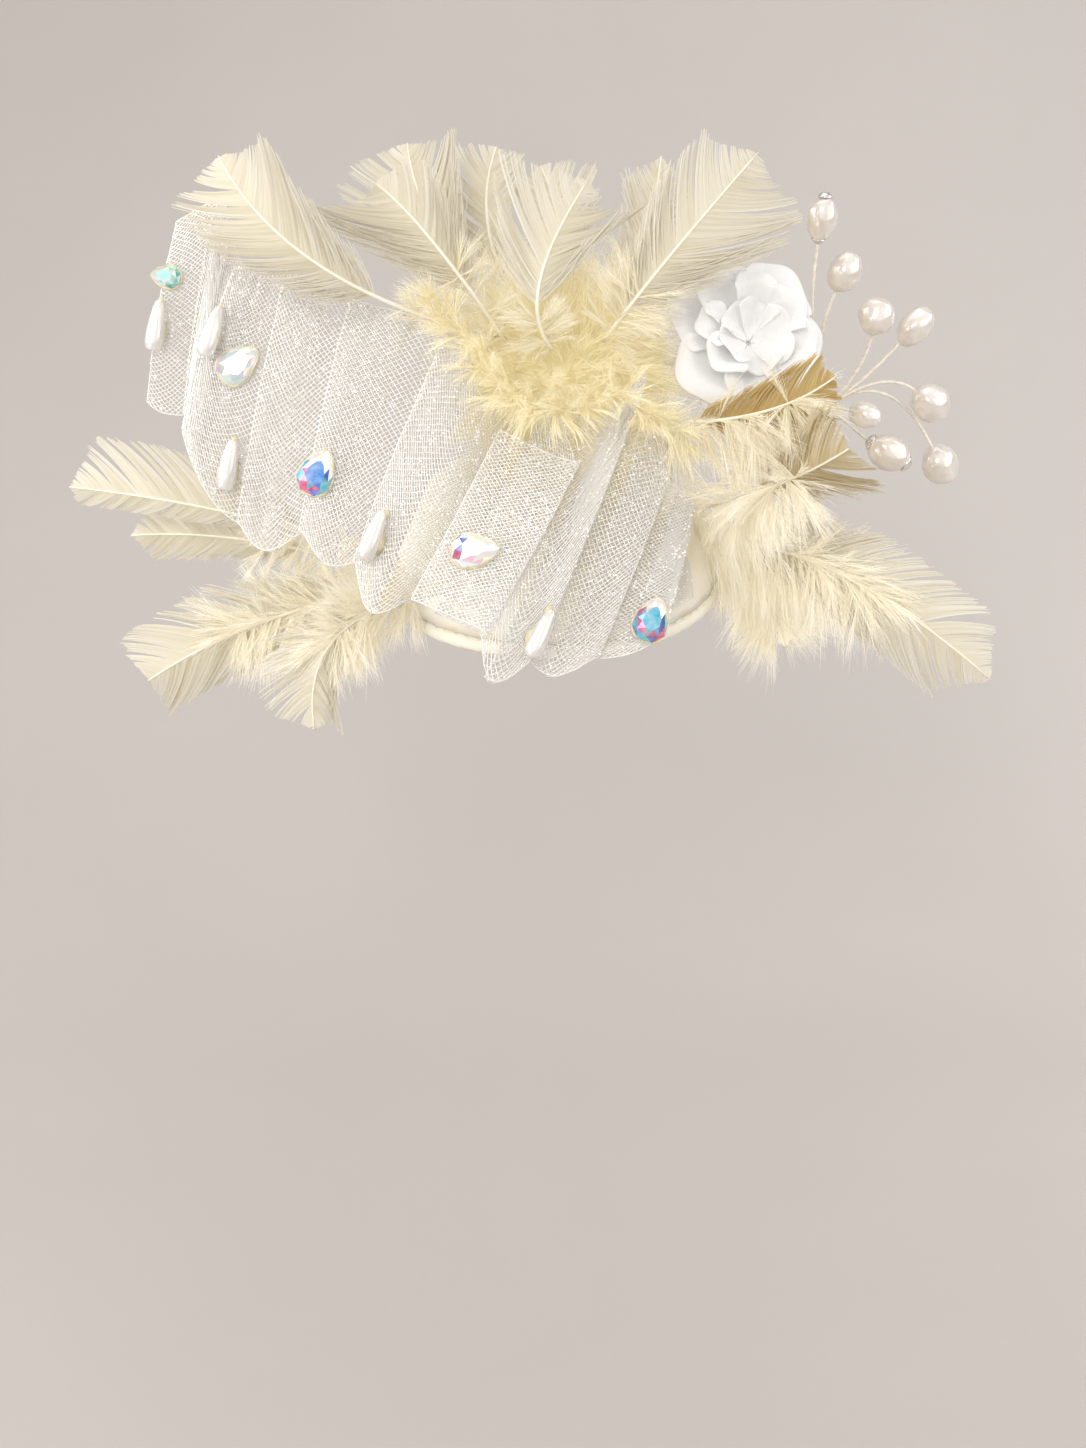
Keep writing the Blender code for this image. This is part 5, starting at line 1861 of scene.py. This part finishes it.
@dataclass
class GluedJewels:
    """Teardrop pearls and faceted crystals, each set in a little glue."""

    strips: dict[str, PleatedNet]
    drop_length: float = 0.0150
    drop_radius: float = 0.0033
    stone_length: float = 0.0140
    stone_width: float = 0.0100
    stone_depth: float = 0.0036
    stone_sides: int = 9
    # Each level's size, height and turn, in shares of the outline, the depth and a side
    stone_levels: tuple[Triple, ...] = ((0.86, 0.04, 0.0), (1.0, 0.30, 0.0), (0.80, 0.68, 0.5), (0.52, 1.0, 0.0))
    rim_radius: float = 0.0004

    def build_teardrop(self, jewel: Jewel, seed: int) -> Piece:
        """Build one teardrop pearl with glue at its point and along its back."""
        dice = random.Random(seed)
        placed = self.strips[jewel.strip].seat(jewel.place, jewel.down, jewel.turn, self.drop_radius)
        upright = placed @ Matrix.Rotation(-math.pi / 2, 4, "X")
        half = self.drop_length / 2
        profile = [(self.drop_radius * wide ** 0.46 * (0.80 - 0.24 * height), half * height)
                   for wide, height in ball_profile(1, 1, 22, 0.2)]
        draft = Draft()
        draft.add_turned(profile, upright, 28)
        for height, wide, tall in ((half * 0.92, 0.0012, 0.0016), (-half * 0.25, 0.0032, 0.0040)):
            shift_seed = Vector((dice.random() * 9, 0, 0))

            def shift(point: Vector, seed_place: Vector = shift_seed, lift: float = height) -> Vector:
                """Make the glue's blob uneven and set it at its height, low against the net."""
                grown = point * (1 + 0.25 * noise.noise(point * 600 + seed_place))
                return Vector((grown.x, min(grown.y, 0.0010) + self.drop_radius * 0.70, grown.z + lift))

            draft.add_turned(ball_profile(wide, tall, 10, 0.3), upright, 18, 1, shift)
        piece = draft.build("glued_" + jewel.node, [DROP.material(), GLUE.material()])
        return hand_over(piece, Slot.DROP, jewel.node)

    def outline(self, angle: float) -> tuple[float, float]:
        """Return the pear-shaped outline of a stone at an angle from its point."""
        return (self.stone_width / 2 * math.sin(angle) * (1 - 0.35 * math.cos(angle)),
                self.stone_length / 2 * math.cos(angle))

    def build_crystal(self, jewel: Jewel, seed: int) -> Piece:
        """Build one stone with its facets, and a rim of glue round it."""
        dice = random.Random(seed)
        placed = self.strips[jewel.strip].seat(jewel.place, jewel.down, jewel.turn, 0)
        shape = bmesh.new()
        hue_layer = shape.faces.layers.int.new("hue")
        faces = self.cut_stone(shape, placed, jewel.size)
        # Painted reflections: each facet takes a fixed colour from the stone's rainbow coat, a strong hue, and a pale
        # one on most facets towards the point; the table takes the first hue.
        hues = [paint(code) for code in (*jewel.hues, *jewel.clear)]
        strong, point = len(jewel.hues), placed.to_3x3() @ Vector((0, 1, 0))
        for face in faces:
            towards_point = (face.calc_center_median() - placed.translation).dot(point) / self.stone_length
            clear = towards_point + dice.uniform(-0.12, 0.12) > 0.08
            face[hue_layer] = dice.randrange(strong, len(hues)) if clear else dice.randrange(strong)
        table = faces[1]
        table[hue_layer] = 0
        bmesh.ops.recalc_face_normals(shape, faces=shape.faces)
        mesh = bpy.data.meshes.new("facets_" + jewel.node)
        shape.to_mesh(mesh)
        shape.free()
        mesh.materials.append(CRYSTAL.material())
        colours = mesh.color_attributes.new("facet", "FLOAT_COLOR", "CORNER")
        chosen = [share for face in mesh.polygons for _ in face.loop_indices
                  for share in hues[mesh.attributes["hue"].data[face.index].value]]
        colours.data.foreach_set("color", chosen)
        drop_attributes(mesh, ("hue",))
        stone = add_piece("facets_" + jewel.node, mesh)
        glue = self.glue_rim("rim_" + jewel.node, placed @ Matrix.Scale(jewel.size, 4), dice)
        return hand_over(join("glued_" + jewel.node, [stone, glue]), Slot.CRYSTAL, jewel.node)

    def cut_stone(self, shape: bmesh.types.BMesh, placed: Matrix, scale: float) -> list[bmesh.types.BMFace]:
        """Cut a stone: a flat back, a girdle, a crown of crossed facets and a table.

        Args:
            shape: the mesh that it goes into.
            placed: the matrix that puts the stone in its place.
            scale: the stone's size against the usual one.

        Returns:
            The faces, the back first and the table second.
        """
        sides = self.stone_sides
        rings = []
        for size, height, offset in self.stone_levels:
            ring = []
            for side in range(sides):
                wide, tall = self.outline(math.tau * (side + offset) / sides)
                reach = size * scale
                ring.append(shape.verts.new(placed @ Vector((reach * wide, reach * tall, height * self.stone_depth))))
            rings.append(ring)
        faces = [shape.faces.new(list(reversed(rings[0]))), shape.faces.new(rings[-1])]
        for lower, upper, shifted in zip(rings, rings[1:], (False, True, True)):
            for side in range(sides):
                following = (side + 1) % sides
                if not shifted:
                    faces.append(shape.faces.new((lower[side], lower[following], upper[following], upper[side])))
                elif upper is rings[2]:
                    faces.append(shape.faces.new((lower[side], lower[following], upper[side])))
                    faces.append(shape.faces.new((lower[following], upper[following], upper[side])))
                else:
                    faces.append(shape.faces.new((lower[side], upper[following], upper[side])))
                    faces.append(shape.faces.new((lower[side], lower[following], upper[following])))
        return faces

    def glue_rim(self, name: str, placed: Matrix, dice: random.Random) -> Piece:
        """Build the uneven bead of glue round a stone."""
        draft = Draft()
        steps = 40
        seed = Vector((dice.random() * 9, 0, 0))
        path, radii = [], []
        for step in range(steps + 1):
            angle = math.tau * step / steps
            wide, tall = self.outline(angle)
            path.append(placed @ Vector((wide * 0.97, tall * 0.97, 0.0003)))
            uneven = noise.noise(Vector((math.cos(angle), math.sin(angle), 0)) * 2 + seed)
            radii.append(self.rim_radius * (1 + 0.5 * uneven))
        draft.add_tube(path, radii)
        return draft.build(name, [GLUE.material()])

    def build(self) -> None:
        """Build every jewel."""
        for number, jewel in enumerate(TEARDROPS):
            self.build_teardrop(jewel, 200 + number)
        for number, jewel in enumerate(CRYSTALS):
            self.build_crystal(jewel, 300 + number)


# Studio


@dataclass(frozen=True)
class SoftLight:
    """A soft square light, where it stands and where it looks."""

    name: str
    place: Triple
    target: Triple
    size: float
    power: float
    colour: str = "FFFFFF"

    def add(self) -> None:
        """Put the light into the scene."""
        data = bpy.data.lights.new(self.name, "AREA")
        data.size, data.energy, data.color = self.size, self.power, paint(self.colour)[:3]
        light = bpy.data.objects.new(self.name, data)
        light.location = self.place
        light.rotation_euler = (Vector(self.target) - Vector(self.place)).to_track_quat("-Z", "Y").to_euler()
        bpy.context.scene.collection.objects.link(light)


MIDDLE = (0.0, 0.0, 0.05)
LIGHTS = (
    SoftLight("key", (-0.22, -1.00, 0.55), MIDDLE, 0.30, 4.0, "FFFDFA"),
    SoftLight("fill", (0.9, -0.7, 0.35), MIDDLE, 0.9, 2.6),
    SoftLight("top", (-0.1, 0.20, 1.1), MIDDLE, 0.9, 2.0),
    SoftLight("low fill", (-0.9, -0.7, 0.0), (-0.25, 0.5, -0.25), 0.7, 4.5),
    SoftLight("floor left", (-0.55, -0.05, 0.20), (-0.30, 0.10, -0.29), 0.5, 1.4, "FFFDFA"),
    SoftLight("floor right", (0.60, 0.00, 0.20), (0.35, 0.20, -0.29), 0.5, 0.8, "FFFDFA"),
    SoftLight("backdrop", (0.75, 0.0, 0.30), (0.62, 0.9, -0.1), 0.5, 3.0, "F6F8FF"),
)


@dataclass
class Studio:
    """The camera, the soft lights and the plain pale sweep."""

    camera_place: Triple = (-0.00224, -0.62135, 0.17439)
    camera_pitch: float = math.radians(70)
    lens: float = 50.0
    floor_height: float = -0.29
    sweep_width: float = 6.0
    front: float = -3.0
    wall_distance: float = 0.9
    wall_height: float = 3.0
    bend_radius: float = 0.7
    bends: int = 16
    paper: GlossFinish = GlossFinish("Pale Paper", "B9B4AF", "B5B0AB", 0.9, 0.0, 3.0)
    sky: str = "F2EFEC"
    sky_side: str = "8F8B88"
    sky_strength: float = 1.03

    def add_camera(self) -> None:
        """Set the camera where the photograph was taken from."""
        data = bpy.data.cameras.new("camera")
        data.lens = self.lens
        camera = bpy.data.objects.new("camera", data)
        camera.location = self.camera_place
        camera.rotation_euler = (self.camera_pitch, 0, 0)
        bpy.context.scene.collection.objects.link(camera)
        bpy.context.scene.camera = camera

    def add_sweep(self) -> None:
        """Build the floor that bends up into the backdrop."""
        profile = [(self.front, self.floor_height)]
        for bend in range(self.bends + 1):
            angle = math.pi / 2 * bend / self.bends
            profile.append((self.wall_distance - self.bend_radius + self.bend_radius * math.sin(angle),
                            self.floor_height + self.bend_radius * (1 - math.cos(angle))))
        profile.append((self.wall_distance, self.wall_height))
        draft = Draft()
        draft.add_rings([[Vector((side * self.sweep_width / 2, depth, height)) for depth, height in profile]
                         for side in (1, -1)], closed=False)
        draft.build("sweep", [self.paper.material()])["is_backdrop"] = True

    def add_sky(self) -> None:
        """Light the scene from all round, more dimly from the sides."""
        world = bpy.data.worlds.new("studio")
        world.use_nodes = True
        background = world.node_tree.nodes["Background"]
        canvas = NodeCanvas(world.node_tree)
        around = canvas.node("ShaderNodeTexCoord").outputs["Generated"]
        looked = canvas.node("ShaderNodeSeparateXYZ", {"Vector": around})
        sideways = canvas.node("ShaderNodeMapRange", {"Value": canvas.math("ABSOLUTE", looked), "From Min": 0.35,
                                                      "From Max": 1.0})
        canvas.feed(background.inputs["Color"], canvas.mix(sideways, paint(self.sky), paint(self.sky_side)))
        background.inputs["Strength"].default_value = self.sky_strength
        bpy.context.scene.world = world
        bpy.context.scene.view_settings.view_transform = "Standard"

    def build(self) -> None:
        """Set up the camera, sweep, lights and sky."""
        self.add_camera()
        self.add_sweep()
        for light in LIGHTS:
            light.add()
        self.add_sky()


def build_fascinator() -> None:
    """Build every piece from the base outwards."""
    base = SatinBase()
    puff_middle = base.place((0.06, -0.24, 1.52))
    Plumage(base, puff_middle).build()
    PearlSpray(base).build()
    base.build()
    MarabouPuff(puff_middle).build()
    strips = {"left": PleatedNet("net_left", "crin_left", LEFT_FOLDS, Vector((-0.15, -0.93, 0.33)), base),
              "right": PleatedNet("net_right", "crin_right", RIGHT_FOLDS, Vector((0.25, -0.86, 0.42)), base)}
    for strip in strips.values():
        strip.build()
    FabricFlower(base, puff_middle).build()
    GluedJewels(strips).build()


def main() -> None:
    """Build the studio and the fascinator, and log the triangles of all shown pieces but the sweep."""
    logging.basicConfig(level=logging.INFO, format="%(name)s: %(message)s")
    noise.seed_set(NOISE_SEED)
    Studio().build()
    build_fascinator()
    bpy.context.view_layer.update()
    triangles = sum(len(face.vertices) - 2 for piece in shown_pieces() if piece.type == "MESH"
                    for face in piece.data.polygons)
    log.info("%d triangles in all", triangles)


if __name__ == "__main__":
    main()
